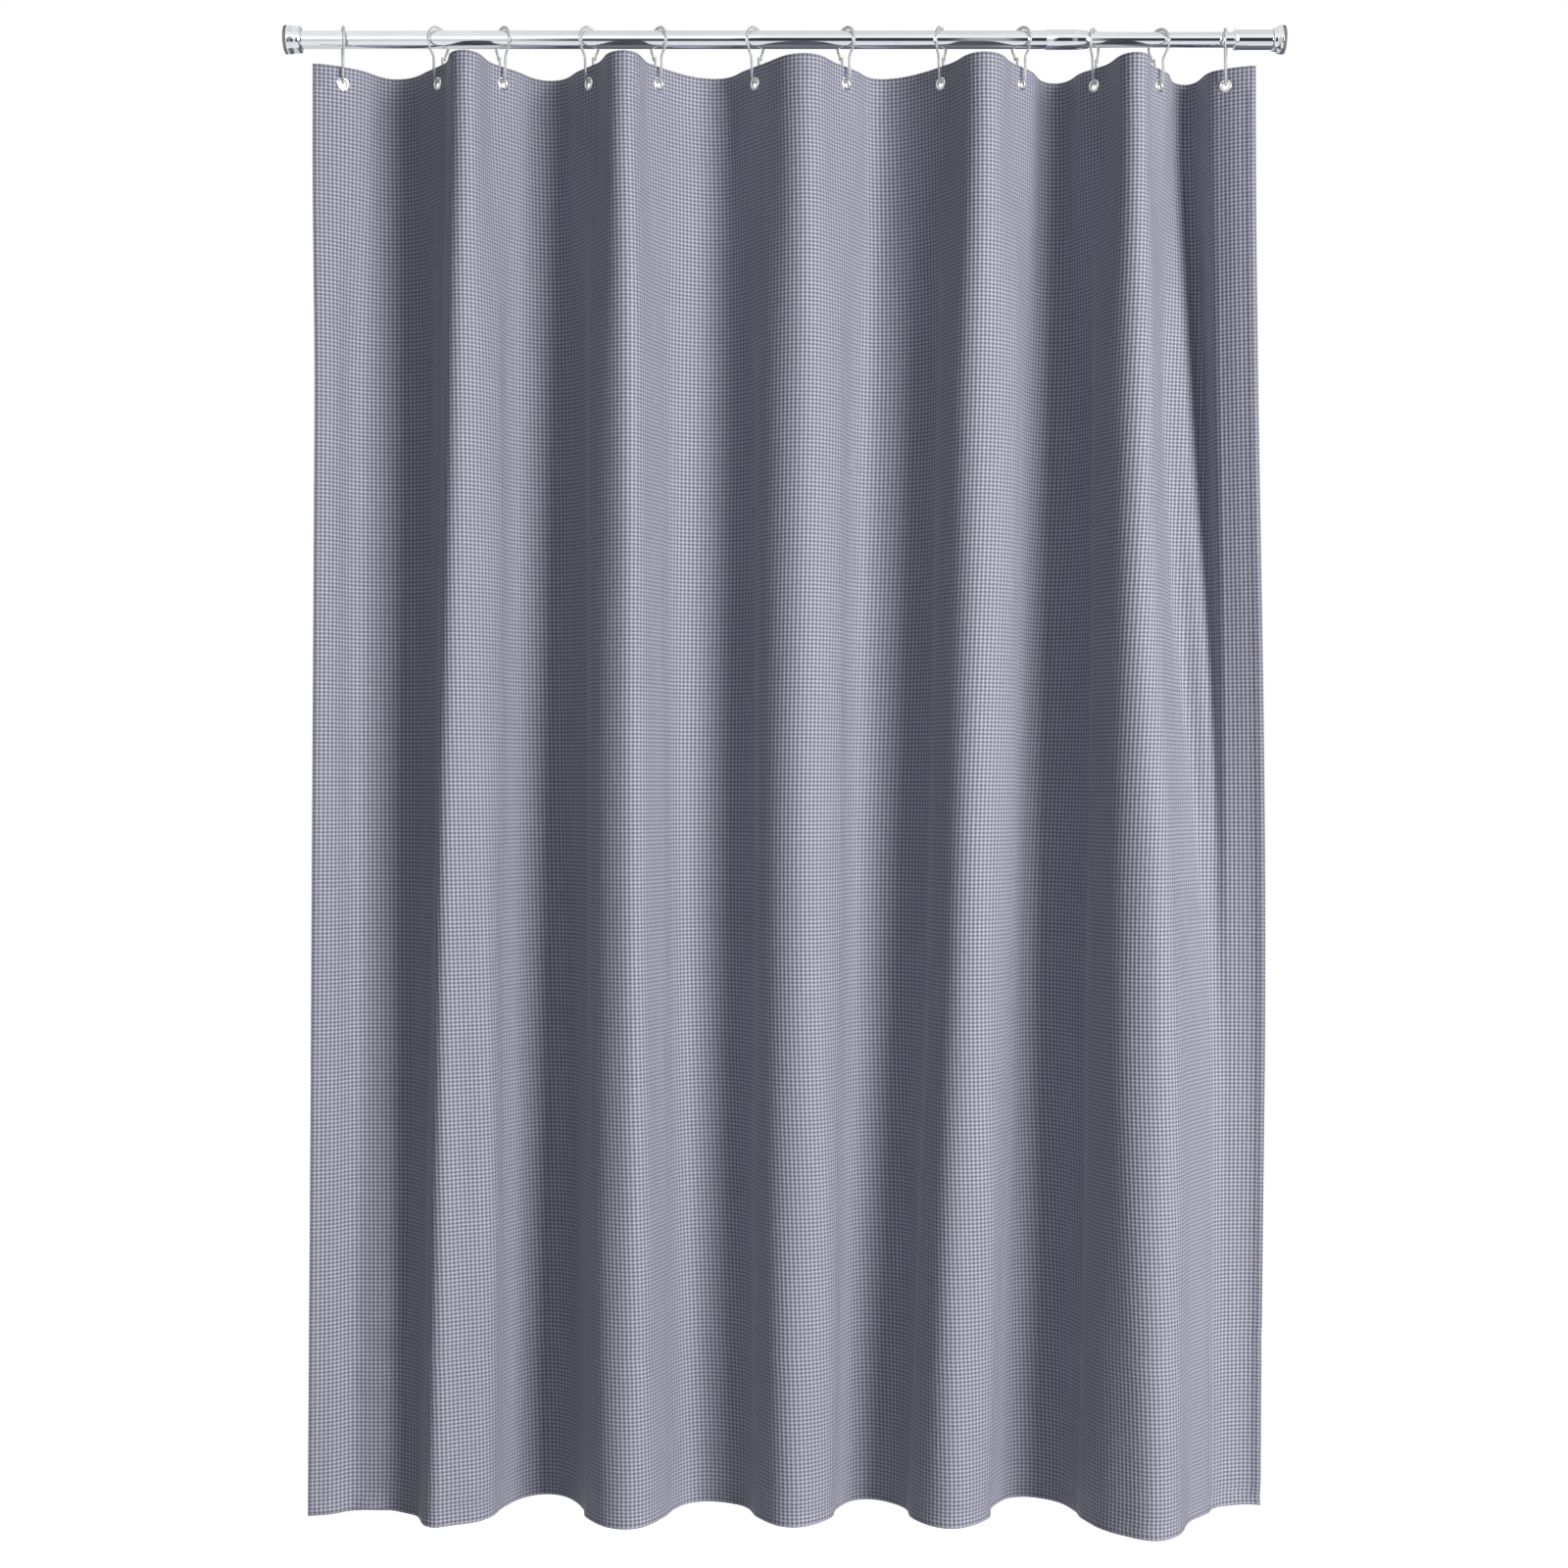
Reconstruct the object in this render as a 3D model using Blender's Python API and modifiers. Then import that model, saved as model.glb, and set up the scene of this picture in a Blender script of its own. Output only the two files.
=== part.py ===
"""Shower curtain on a telescoping tension rod.

A woven curtain hangs in deep folds from twelve snap rings.  Each ring passes through a two-part
grommet in the curtain's top hem and rides on a chrome rod.  The rod is two tubes, one sliding in the
other; a screw inside draws a cone into a slotted plug, which locks the tubes to each other.

Frame, in metres: the origin is the centre of the left wall pad's outer face, +X runs along the rod
to the right, +Z is up, and the room side of the curtain faces -Y.
"""
import math

import bmesh
import bpy
from mathutils import Matrix, Vector

# ------------------------------------------------------------------ driving dimensions (metres)
GAP = 0.0003                    # between pieces that touch

# Rod
ROD_SPAN = 1.264                # wall face to wall face
OUTER_TUBE_R = 0.0111
OUTER_TUBE_WALL = 0.0009
OUTER_TUBE_END = 0.991          # right end of the large tube
TUBE_PLAY = 0.0007              # between the small tube and the large one's bore
INNER_TUBE_WALL = 0.0008
INNER_TUBE_START = 0.350        # left end of the small tube, inside the large one
COLLAR_START = 0.962
COLLAR_LENGTH = 0.054
COLLAR_WALL = 0.0007            # around the large tube
COLLAR_TIP_WALL = 0.0006        # around the small tube
COLLAR_LIP = 0.0006             # small edge round at the collar's left end
PAD_RIM = 0.0065                # rubber wall pads, beyond the large tube
PAD_THICKNESS = 0.0035
PAD_PLUG_LENGTH = 0.016
PAD_PLUG_CHAMFER = 0.0010
CAP_WALL = 0.0010
CAP_ROUND = 0.0022              # edge at a cap's small end
LEFT_CAP_LENGTH = 0.0172
LEFT_CAP_TAPER = 0.0010         # pad's radius to the cap's small end
RIGHT_CAP_LENGTH = 0.0118
RIGHT_CAP_TAPER = 0.0026
SLEEVE_LENGTH = 0.0482
SLEEVE_WALL = 0.0024
SLEEVE_LIP = 0.0007             # height of the lip at its left end
SLEEVE_LIP_WIDTH = 0.0016
SLEEVE_LIP_RAMP = 0.0018        # from the lip down to the sleeve
SLEEVE_CHAMFER = 0.0007

# Lock inside the rod
LOCK_SCREW_R = 0.0030
LOCK_SCREW_HEAD_R = 0.0058
LOCK_SCREW_HEAD = 0.0040
LOCK_SCREW_TAIL = 0.008         # screw left of the cone
LOCK_PLUG_LENGTH = 0.024        # plug pressed into the small tube
LOCK_PLUG_RECESS = 0.002        # plug's left face behind the tube's end
COLLET_LENGTH = 0.036
COLLET_BASE = 0.007             # unslotted ring at the collet's right end
COLLET_SLOT = 0.0016
COLLET_SLOTS = 4
LOCK_CHAMFER = 0.0006           # at the ends of the lock's pieces
COLLET_TO_TUBE = 0.0008         # collet's right face to the small tube's end
LOCK_TRAVEL = 0.0025            # the cone's way into the collet, two turns of the screw
CONE_TAPER = 0.11               # loss of radius over length
COLLET_MOUTH_WALL = 0.0015      # thickness of the fingers' ends
CONE_PLAY = 0.0006              # radial room between cone and collet when released
CONE_BACK = 0.004               # cone's big face behind the collet's left face

# Rings
RING_WIRE_R = 0.00165
RING_CROWN_SWELL = 1.33         # the wire is thicker over the rod
RING_ROOM = 0.0043              # radial room between a ring's loop and the collar
RING_HEIGHT = 0.0720            # top to bottom, outside
RING_LEG_SPACING = 0.0160       # between the two straight legs, centre lines
RING_NECK_ANGLE = math.radians(40)      # where the loop leaves its circle, below level
RING_LATCH_OVERLAP = 0.003      # how far the arm's end reaches past the leg's tip
RING_LATCH_SPACING = 0.0042     # arm's end to leg's tip, centre lines
RING_ARM_DROP = 0.0008          # arm's end above the top of the straight leg
RING_SHOULDER = 0.0028          # rounded corner between the front leg and the neck
RING_SEAT_PLAY = 0.0006         # between a ring's crown and the rod
FIRST_RING = 0.0727             # first ring from the left wall
LAST_RING = 1.1899              # last ring from the left wall
# Relative distances between neighbouring rings, as the curtain was left when it was drawn out.
RING_GAPS = (1.21, 0.81, 1.10, 0.87, 1.23, 1.14, 1.21, 1.01, 0.93, 0.81, 0.85)
# How far each ring is turned about the vertical, in degrees; 0 is square to the rod.
RING_TURNS = (14, -33, 33, -33, 33, -33, 33, -24, 33, -24, 33, -14)

# Grommets
GROMMET_HOLE_R = 0.0050
GROMMET_FLANGE = 0.0033         # width of the flange
GROMMET_BARREL_WALL = 0.0004
GROMMET_DOME = 0.0010
GROMMET_DOME_WIDTH = 0.0008     # flat top of the dome
GROMMET_EDGE = 0.0006           # thickness and width of the flange's sloped rim
GROMMET_FLARE = 0.0005          # the hole widens by this at both faces
GROMMET_ROLL = 0.0011           # width of the barrel's rolled edge
GROMMET_ROLL_ROUND = 0.0003
WASHER_INSET = 0.0003           # the washer is this much smaller than the flange
WASHER_THICKNESS = 0.0005
GROMMET_HANG = 0.0008           # hole edge above the ring's wire
HEM_ABOVE_GROMMET = 0.0213      # grommet centre to the curtain's top edge

# Curtain
CURTAIN_WIDTH = 1.829           # flat
CURTAIN_HEIGHT = 1.829
CLOTH_THICKNESS = 0.0010
SIDE_MARGIN = 0.038             # first and last grommet to the side edges
GROMMET_ANGLE = math.radians(48)        # cloth at the grommets, from the rod's direction
END_GROMMET_ANGLE = math.radians(32)
EDGE_ANGLE = math.radians(8)    # cloth at the side edges, from the rod's direction
GROMMET_BAND = 0.048            # below the top edge the cloth is straight down over this depth
# Each fold's crest beside the middle of its rings at the top, as a share of their distance.
TOP_SKEW = (0.06, 0.0, 0.01, 0.04, 0.10, 0.04, -0.12, 0.0, 0.03, 0.04, -0.06)
# Towards the hem each fold slides sideways (metres) and grows deeper or shallower (share).
HEM_DRIFT = (-0.032, -0.026, -0.003, 0.007, 0.004, -0.002, -0.030, -0.040, -0.034, 0.003, 0.110)
HEM_DEPTH = (0.12, 0.80, 1.20, 0.85, 0.90, 0.90, 1.00, 0.90, 1.00, 1.25, 0.12)
EDGE_DRIFT = -0.006             # left side edge at the hem
# The last fold opens on its way down and the cloth beyond it runs straight back to the edge.
TAIL_DRIFT = 0.016
TAIL_BACK = 0.038
TAIL_ANGLES = (0.85, 0.40, -0.05)       # last two crossings and the edge, in radians
TAIL_OPEN = 0.72                # share of the way down by which the last fold has opened
TAIL_LATE = 0.30                # share of the way down where the cloth beyond it starts to turn
LOOSENED = 0.22                 # share of the way down by which the grommets no longer turn the cloth
STEEPEST = math.radians(86)     # no part of a fold turns further than this
PANEL_STEPS_PER_FOLD = 6
PANEL_ROWS_BELOW_BAND = 5
PATCH = 0.010                   # half width of the flat facet under each grommet

ROD_STEPS = 20
TAPER_STEPS = 6                 # along the collar's tapered half
SCREW_STEPS = 12
GROMMET_STEPS = 12
RING_BEND_STEPS = 6             # round a ring's bottom
RING_LOOP_STEPS = 14            # round its upper loop
FOLD_STEPS = 40                 # along a fold
MARGIN_STEPS = 8                # along a side margin
MERGE = 0.00002

# ------------------------------------------------------------------ derived sizes
RING_COUNT = len(RING_TURNS)
GROMMET_PITCH = (CURTAIN_WIDTH - 2 * SIDE_MARGIN) / (RING_COUNT - 1)
OUTER_TUBE_BORE = OUTER_TUBE_R - OUTER_TUBE_WALL
INNER_TUBE_R = OUTER_TUBE_BORE - TUBE_PLAY
INNER_TUBE_BORE = INNER_TUBE_R - INNER_TUBE_WALL
COLLAR_R = OUTER_TUBE_R + GAP + COLLAR_WALL
COLLAR_TIP_R = INNER_TUBE_R + GAP + COLLAR_TIP_WALL
PAD_R = OUTER_TUBE_R + PAD_RIM
SLEEVE_R = INNER_TUBE_R + GAP + SLEEVE_WALL
SLEEVE_LIP_R = SLEEVE_R + SLEEVE_LIP
COLLAR_END = COLLAR_START + COLLAR_LENGTH
RIGHT_PAD_FACE = ROD_SPAN - PAD_THICKNESS
SCREW_HOLE_R = LOCK_SCREW_R + GAP
COLLET_END = INNER_TUBE_START - COLLET_TO_TUBE
COLLET_START = COLLET_END - COLLET_LENGTH
CONE_START = COLLET_START + CONE_BACK
COLLET_THROAT = COLLET_END - COLLET_BASE
CONE_LENGTH = COLLET_THROAT - CONE_START - LOCK_TRAVEL - 2 * GAP
COLLET_R = OUTER_TUBE_BORE - GAP
COLLET_MOUTH_R = COLLET_R - COLLET_MOUTH_WALL
CONE_BIG_R = COLLET_MOUTH_R - CONE_TAPER * CONE_BACK - CONE_PLAY
CONE_SMALL_R = CONE_BIG_R - CONE_TAPER * CONE_LENGTH
COLLET_THROAT_R = COLLET_MOUTH_R - CONE_TAPER * (COLLET_THROAT - COLLET_START)
PLUG_START = INNER_TUBE_START + LOCK_PLUG_RECESS
PLUG_END = PLUG_START + LOCK_PLUG_LENGTH
CROWN_WIRE_R = RING_WIRE_R * RING_CROWN_SWELL
RING_LOOP_R = COLLAR_R + RING_ROOM + CROWN_WIRE_R       # centre line of the round upper loop
HANG_OFFSET = GROMMET_HOLE_R - RING_WIRE_R - GROMMET_HANG
BARREL_R = GROMMET_HOLE_R + GROMMET_BARREL_WALL
GROMMET_R = GROMMET_HOLE_R + GROMMET_FLANGE
GROMMET_ROLL_R = BARREL_R + GROMMET_ROLL
WASHER_R = GROMMET_R - WASHER_INSET
HALF_CLOTH = CLOTH_THICKNESS / 2


def start_scene():
    """Empty the scene and make the two collections."""
    for old in list(bpy.data.objects):
        bpy.data.objects.remove(old)
    found = {}
    for name in ("shower_curtain", "cutters"):
        found[name] = bpy.data.collections.new(name)
        bpy.context.scene.collection.children.link(found[name])
    return found["shower_curtain"], found["cutters"]


PARTS, CUTTERS = start_scene()


# ------------------------------------------------------------------ materials
def finish(name, colour, roughness, metallic=0.0, alpha=1.0):
    material = bpy.data.materials.new(name)
    material.use_nodes = True
    shader = material.node_tree.nodes["Principled BSDF"]
    shader.inputs["Base Color"].default_value = (*colour, 1.0)
    shader.inputs["Roughness"].default_value = roughness
    shader.inputs["Metallic"].default_value = metallic
    shader.inputs["Alpha"].default_value = alpha
    return material


CHROME = finish("chrome", (0.78, 0.79, 0.80), 0.08, 1.0)
STEEL = finish("steel", (0.50, 0.50, 0.51), 0.35, 1.0)
NICKEL = finish("grommet_nickel", (0.74, 0.73, 0.70), 0.18, 1.0)
RUBBER = finish("grey_rubber", (0.42, 0.42, 0.43), 0.75)
LOCK_PLASTIC = finish("lock_plastic", (0.80, 0.79, 0.76), 0.45)
CLEAR_PLASTIC = finish("clear_plastic", (0.86, 0.87, 0.88), 0.12, 0.0, 0.45)
CLOTH = finish("waffle_cloth", (0.22, 0.22, 0.28), 0.85)


# ------------------------------------------------------------------ helpers
def add_object(name, data, material, parent=None):
    made = bpy.data.objects.new(name, data)
    data.materials.append(material)
    PARTS.objects.link(made)
    made.parent = parent
    return made


def add_axis(name, place, parent=None):
    """An empty on a joint's axis, which carries the pieces that move on it."""
    made = bpy.data.objects.new(name, None)
    PARTS.objects.link(made)
    made.location = place
    made.parent = parent
    return made


def turned_mesh(name, outline, closed):
    """The outline (radius, height) of a turned shape as edges in the XZ plane."""
    shape = bmesh.new()
    points = [shape.verts.new((radius, 0, height)) for radius, height in outline]
    for start, end in zip(points, points[1:]):
        shape.edges.new((start, end))
    if closed:
        shape.edges.new((points[-1], points[0]))
    mesh = bpy.data.meshes.new(name)
    shape.to_mesh(mesh)
    shape.free()
    return mesh


def screw(made, steps):
    turn = made.modifiers.new("turn", "SCREW")
    turn.steps = turn.render_steps = steps
    turn.use_merge_vertices = True
    turn.merge_threshold = MERGE
    turn.use_smooth_shade = True


def on_rod(name, outline, material, closed, parent=None, at=0.0, steps=ROD_STEPS):
    """A piece turned about the rod.  The outline is (radius, distance along the rod), from its
    right end down its outer side to its left end, and back inside when it is closed."""
    base = at if parent else 0.0
    mesh = turned_mesh(name, [(radius, along - base) for radius, along in outline], closed)
    made = add_object(name, mesh, material, parent)
    made.rotation_euler = (0, math.pi / 2, 0)
    screw(made, steps)
    return made


# ------------------------------------------------------------------ rod, large-tube side
def collar_radius(along):
    """Outside of the collar: straight for its first half, then a quarter of an ellipse."""
    straight_end = COLLAR_START + COLLAR_LENGTH / 2
    if along <= straight_end:
        return COLLAR_R
    share = min(1.0, (along - straight_end) / (COLLAR_END - straight_end))
    return COLLAR_TIP_R + (COLLAR_R - COLLAR_TIP_R) * math.sqrt(1 - share * share)


def build_large_tube_side():
    tube_left = PAD_THICKNESS + GAP
    on_rod("outer_tube", [
        (OUTER_TUBE_R, OUTER_TUBE_END), (OUTER_TUBE_R, tube_left),
        (OUTER_TUBE_BORE, tube_left), (OUTER_TUBE_BORE, OUTER_TUBE_END)], CHROME, True)

    taper = [COLLAR_END - COLLAR_LENGTH / 2 * (step / TAPER_STEPS) ** 2
             for step in range(TAPER_STEPS + 1)]
    outside = [(collar_radius(along), along) for along in taper]
    step_face = OUTER_TUBE_END + GAP
    on_rod("collar", outside + [
        (COLLAR_R, COLLAR_START + COLLAR_LIP), (COLLAR_R - COLLAR_LIP / 2, COLLAR_START),
        (OUTER_TUBE_R + GAP, COLLAR_START), (OUTER_TUBE_R + GAP, step_face),
        (INNER_TUBE_R + GAP, step_face), (INNER_TUBE_R + GAP, COLLAR_END)], CHROME, True)

    plug_r = OUTER_TUBE_BORE - GAP
    plug_end = PAD_THICKNESS + PAD_PLUG_LENGTH
    on_rod("left_wall_pad", [
        (0, plug_end), (plug_r - PAD_PLUG_CHAMFER, plug_end),
        (plug_r, plug_end - PAD_PLUG_CHAMFER), (plug_r, PAD_THICKNESS),
        (PAD_R, PAD_THICKNESS), (PAD_R, 0), (0, 0)], RUBBER, False)

    cap_left = PAD_THICKNESS + GAP
    cap_right = cap_left + LEFT_CAP_LENGTH
    hole = OUTER_TUBE_R + GAP
    on_rod("left_cap", cup_outline(cap_right, cap_left, PAD_R - LEFT_CAP_TAPER, hole), CHROME, True)


def cup_outline(closed_end, open_end, small_r, hole_r):
    """A cup with its open end on the wall pad and the tube's hole in its other end."""
    inward = math.copysign(1, open_end - closed_end)
    corner = CAP_ROUND * (1 - math.sqrt(0.5))
    outside = [(hole_r, closed_end), (small_r - CAP_ROUND, closed_end),
               (small_r - corner, closed_end + inward * corner),
               (small_r, closed_end + inward * CAP_ROUND), (PAD_R, open_end)]
    inside = [(PAD_R - CAP_WALL, open_end),
              (small_r - CAP_WALL, closed_end + inward * (CAP_ROUND + CAP_WALL / 2)),
              (hole_r, closed_end + inward * CAP_WALL)]
    outline = outside + inside
    return outline if closed_end > open_end else outline[::-1]


# ------------------------------------------------------------------ lock and small-tube side
def build_lock(carriage):
    def lock_piece(name, outline, material):
        return on_rod(name, outline, material, True, carriage, COLLET_END)

    collet = lock_piece("lock_collet", [
        (COLLET_R - LOCK_CHAMFER, COLLET_END), (COLLET_R, COLLET_END - LOCK_CHAMFER),
        (COLLET_R, COLLET_START),
        (COLLET_MOUTH_R, COLLET_START), (COLLET_THROAT_R, COLLET_THROAT),
        (SCREW_HOLE_R, COLLET_THROAT),
        (SCREW_HOLE_R, COLLET_END)], LOCK_PLASTIC)
    cut_slots(collet)

    lock_piece("lock_cone", [
        (SCREW_HOLE_R, CONE_START + CONE_LENGTH), (CONE_SMALL_R, CONE_START + CONE_LENGTH),
        (CONE_BIG_R, CONE_START), (SCREW_HOLE_R, CONE_START)], STEEL)


def cut_slots(collet):
    """Slots from the collet's open end to its base, so that its fingers can spread."""
    reach = OUTER_TUBE_R * 2
    length = COLLET_THROAT - COLLET_START
    for turn in range(COLLET_SLOTS // 2):
        shape = bmesh.new()
        bmesh.ops.create_cube(shape, size=1.0, matrix=Matrix.Diagonal(
            (length * 2, COLLET_SLOT, reach, 1)))
        mesh = bpy.data.meshes.new(f"slot_cutter_{turn + 1}")
        shape.to_mesh(mesh)
        shape.free()
        cutter = bpy.data.objects.new(mesh.name, mesh)
        CUTTERS.objects.link(cutter)
        cutter.location = (COLLET_START, 0, 0)
        cutter.rotation_euler = (math.pi / 4 + turn * math.pi / 2, 0, 0)
        cutter.hide_render = True
        cutter.display_type = "WIRE"
        cut = collet.modifiers.new(mesh.name, "BOOLEAN")
        cut.operation = "DIFFERENCE"
        cut.object = cutter


def build_small_tube_side(axis):
    def inner_piece(name, outline, material, closed, steps=ROD_STEPS):
        return on_rod(name, outline, material, closed, axis, INNER_TUBE_START, steps)

    tube_right = RIGHT_PAD_FACE - GAP
    inner_piece("inner_tube", [
        (INNER_TUBE_R, tube_right), (INNER_TUBE_R, INNER_TUBE_START),
        (INNER_TUBE_BORE, INNER_TUBE_START), (INNER_TUBE_BORE, tube_right)], CHROME, True)
    plug_r = INNER_TUBE_BORE - GAP
    inner_piece("inner_tube_plug", [
        (plug_r - LOCK_CHAMFER, PLUG_END), (plug_r, PLUG_END - LOCK_CHAMFER), (plug_r, PLUG_START),
        (SCREW_HOLE_R, PLUG_START), (SCREW_HOLE_R, PLUG_END)], LOCK_PLASTIC, True)
    head_face = PLUG_END + GAP
    tail = CONE_START - LOCK_SCREW_TAIL
    inner_piece("lock_screw", [
        (0, head_face + LOCK_SCREW_HEAD), (LOCK_SCREW_HEAD_R, head_face + LOCK_SCREW_HEAD),
        (LOCK_SCREW_HEAD_R, head_face), (LOCK_SCREW_R, head_face),
        (LOCK_SCREW_R, tail + LOCK_CHAMFER), (LOCK_SCREW_R - LOCK_CHAMFER, tail), (0, tail)],
        STEEL, False, SCREW_STEPS)

    cap_right = RIGHT_PAD_FACE - GAP
    cap_left = cap_right - RIGHT_CAP_LENGTH
    hole = INNER_TUBE_R + GAP
    inner_piece("right_cap", cup_outline(cap_left, cap_right, PAD_R - RIGHT_CAP_TAPER, hole),
                CHROME, True)
    sleeve_right = cap_left - GAP
    sleeve_left = sleeve_right - SLEEVE_LENGTH
    lip_right = sleeve_left + SLEEVE_LIP_WIDTH
    inner_piece("right_sleeve", [
        (SLEEVE_R - SLEEVE_CHAMFER, sleeve_right), (SLEEVE_R, sleeve_right - SLEEVE_CHAMFER),
        (SLEEVE_R, lip_right + SLEEVE_LIP_RAMP), (SLEEVE_LIP_R, lip_right),
        (SLEEVE_LIP_R, sleeve_left + SLEEVE_CHAMFER),
        (SLEEVE_LIP_R - SLEEVE_CHAMFER, sleeve_left),
        (hole, sleeve_left), (hole, sleeve_right)], CHROME, True)
    plug_end = RIGHT_PAD_FACE - PAD_PLUG_LENGTH
    inner_piece("right_wall_pad", [
        (0, ROD_SPAN), (PAD_R, ROD_SPAN), (PAD_R, RIGHT_PAD_FACE), (plug_r, RIGHT_PAD_FACE),
        (plug_r, plug_end + PAD_PLUG_CHAMFER), (plug_r - PAD_PLUG_CHAMFER, plug_end),
        (0, plug_end)], RUBBER, False)


# ------------------------------------------------------------------ where rings and folds lie
def ring_places():
    """Distance of each ring along the rod."""
    unit = (LAST_RING - FIRST_RING) / sum(RING_GAPS)
    places = [FIRST_RING]
    for share in RING_GAPS:
        places.append(places[-1] + share * unit)
    return places


def ring_seat(along):
    """Height of the rod that a ring rests on or has to pass over as the curtain is drawn to the
    right: the collar's for every ring left of it, the tapered tip or the small tube for the rest."""
    edge = along - CROWN_WIRE_R
    if edge >= COLLAR_END:
        return INNER_TUBE_R
    return collar_radius(max(COLLAR_START, edge))


RING_X = ring_places()
RING_DROP = [COLLAR_R - ring_seat(along) for along in RING_X]
RING_TOP = COLLAR_R + RING_SEAT_PLAY + 2 * CROWN_WIRE_R
LOOP_Z = RING_TOP - CROWN_WIRE_R - RING_LOOP_R
RING_BOTTOM_WIRE_Z = RING_TOP - RING_HEIGHT + RING_WIRE_R
GROMMET_Z = RING_BOTTOM_WIRE_Z - HANG_OFFSET


def length_of(points):
    return sum(math.dist(a, b) for a, b in zip(points, points[1:]))


def solve(measure, target, low, high):
    """The value between low and high where a rising measure meets its target."""
    for _ in range(40):
        middle = (low + high) / 2
        if measure(middle) < target:
            low = middle
        else:
            high = middle
    return (low + high) / 2


def mix(first, second, share):
    return first + (second - first) * share


def ease(share):
    """From 0 to 1 with a soft start and end."""
    share = min(1.0, max(0.0, share))
    return share * share * (3 - 2 * share)


# Odd folds come forward into the room and even ones go back, counted from 1 at the second ring.
FOLD_SIDES = [(-1) ** gap for gap in range(RING_COUNT - 1)]
GROMMET_TURNS = [(END_GROMMET_ANGLE if ring in (0, RING_COUNT - 1) else GROMMET_ANGLE)
                 * (-1) ** ring for ring in range(RING_COUNT)]
TOP_GAPS = [right - left for left, right in zip(RING_X, RING_X[1:])]


def limited(angle):
    return STEEPEST * math.tanh(1.13 * angle / STEEPEST)


def fold_points(length, angles, crest, swell):
    """One fold in plan from (0, 0).  The cloth leaves and arrives at the given angles, is straight
    beside its ends, and bends evenly round its crest; swell makes each side steeper."""
    free = length - 2 * PATCH
    lean = (0.5 - crest) / (crest * (1 - crest))
    x, y = PATCH * math.cos(angles[0]), PATCH * math.sin(angles[0])
    points = [(x, y)]
    side = 1 if angles[0] > angles[1] else -1
    for step in range(FOLD_STEPS):
        share = (step + 0.5) / FOLD_STEPS
        share += lean * share * (1 - share)
        second = ease((share - 0.35) / 0.30)
        more = (swell[0] * (1 - second) * ease(share / 0.3)
                + swell[1] * second * ease((1 - share) / 0.3))
        angle = limited(mix(angles[0], angles[1], share) + side * (1 - 2 * share) * more)
        x += math.cos(angle) * free / FOLD_STEPS
        y += math.sin(angle) * free / FOLD_STEPS
        points.append((x, y))
    points.append((x + PATCH * math.cos(angles[1]), y + PATCH * math.sin(angles[1])))
    return points


def solved_fold(length, reach, angles, crest):
    """fold_points whose end is at the given reach (along, back), by Newton's method."""
    swell = [0.6, 0.6]
    small = 1e-4
    for _ in range(12):
        x, y = fold_points(length, angles, crest, swell)[-1]
        xa, ya = fold_points(length, angles, crest, (swell[0] + small, swell[1]))[-1]
        xb, yb = fold_points(length, angles, crest, (swell[0], swell[1] + small))[-1]
        a, b, c, d = (xa - x) / small, (xb - x) / small, (ya - y) / small, (yb - y) / small
        ex, ey = reach[0] - x, reach[1] - y
        if math.hypot(ex, ey) < 1e-6:
            break
        area = a * d - b * c
        steps = ((ex * d - ey * b) / area, (ey * a - ex * c) / area)
        swell = [old + max(-0.5, min(0.5, move)) for old, move in zip(swell, steps)]
    return fold_points(length, angles, crest, swell)


def natural_angle(length, reach):
    """The cloth's angle at its crossings where a fold of that length bends evenly."""
    return math.sqrt(max(0.0, 6 * (1 - reach / length)))


def margin_points(start_angle, end_angle):
    points = [(0.0, 0.0)]
    length = SIDE_MARGIN / MARGIN_STEPS
    for step in range(MARGIN_STEPS):
        angle = mix(start_angle, end_angle, (step + 0.5) / MARGIN_STEPS)
        x, y = points[-1]
        points.append((x + math.cos(angle) * length, y + math.sin(angle) * length))
    return points


def moved(points, start):
    return [(x + start[0], y + start[1]) for x, y in points]


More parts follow.
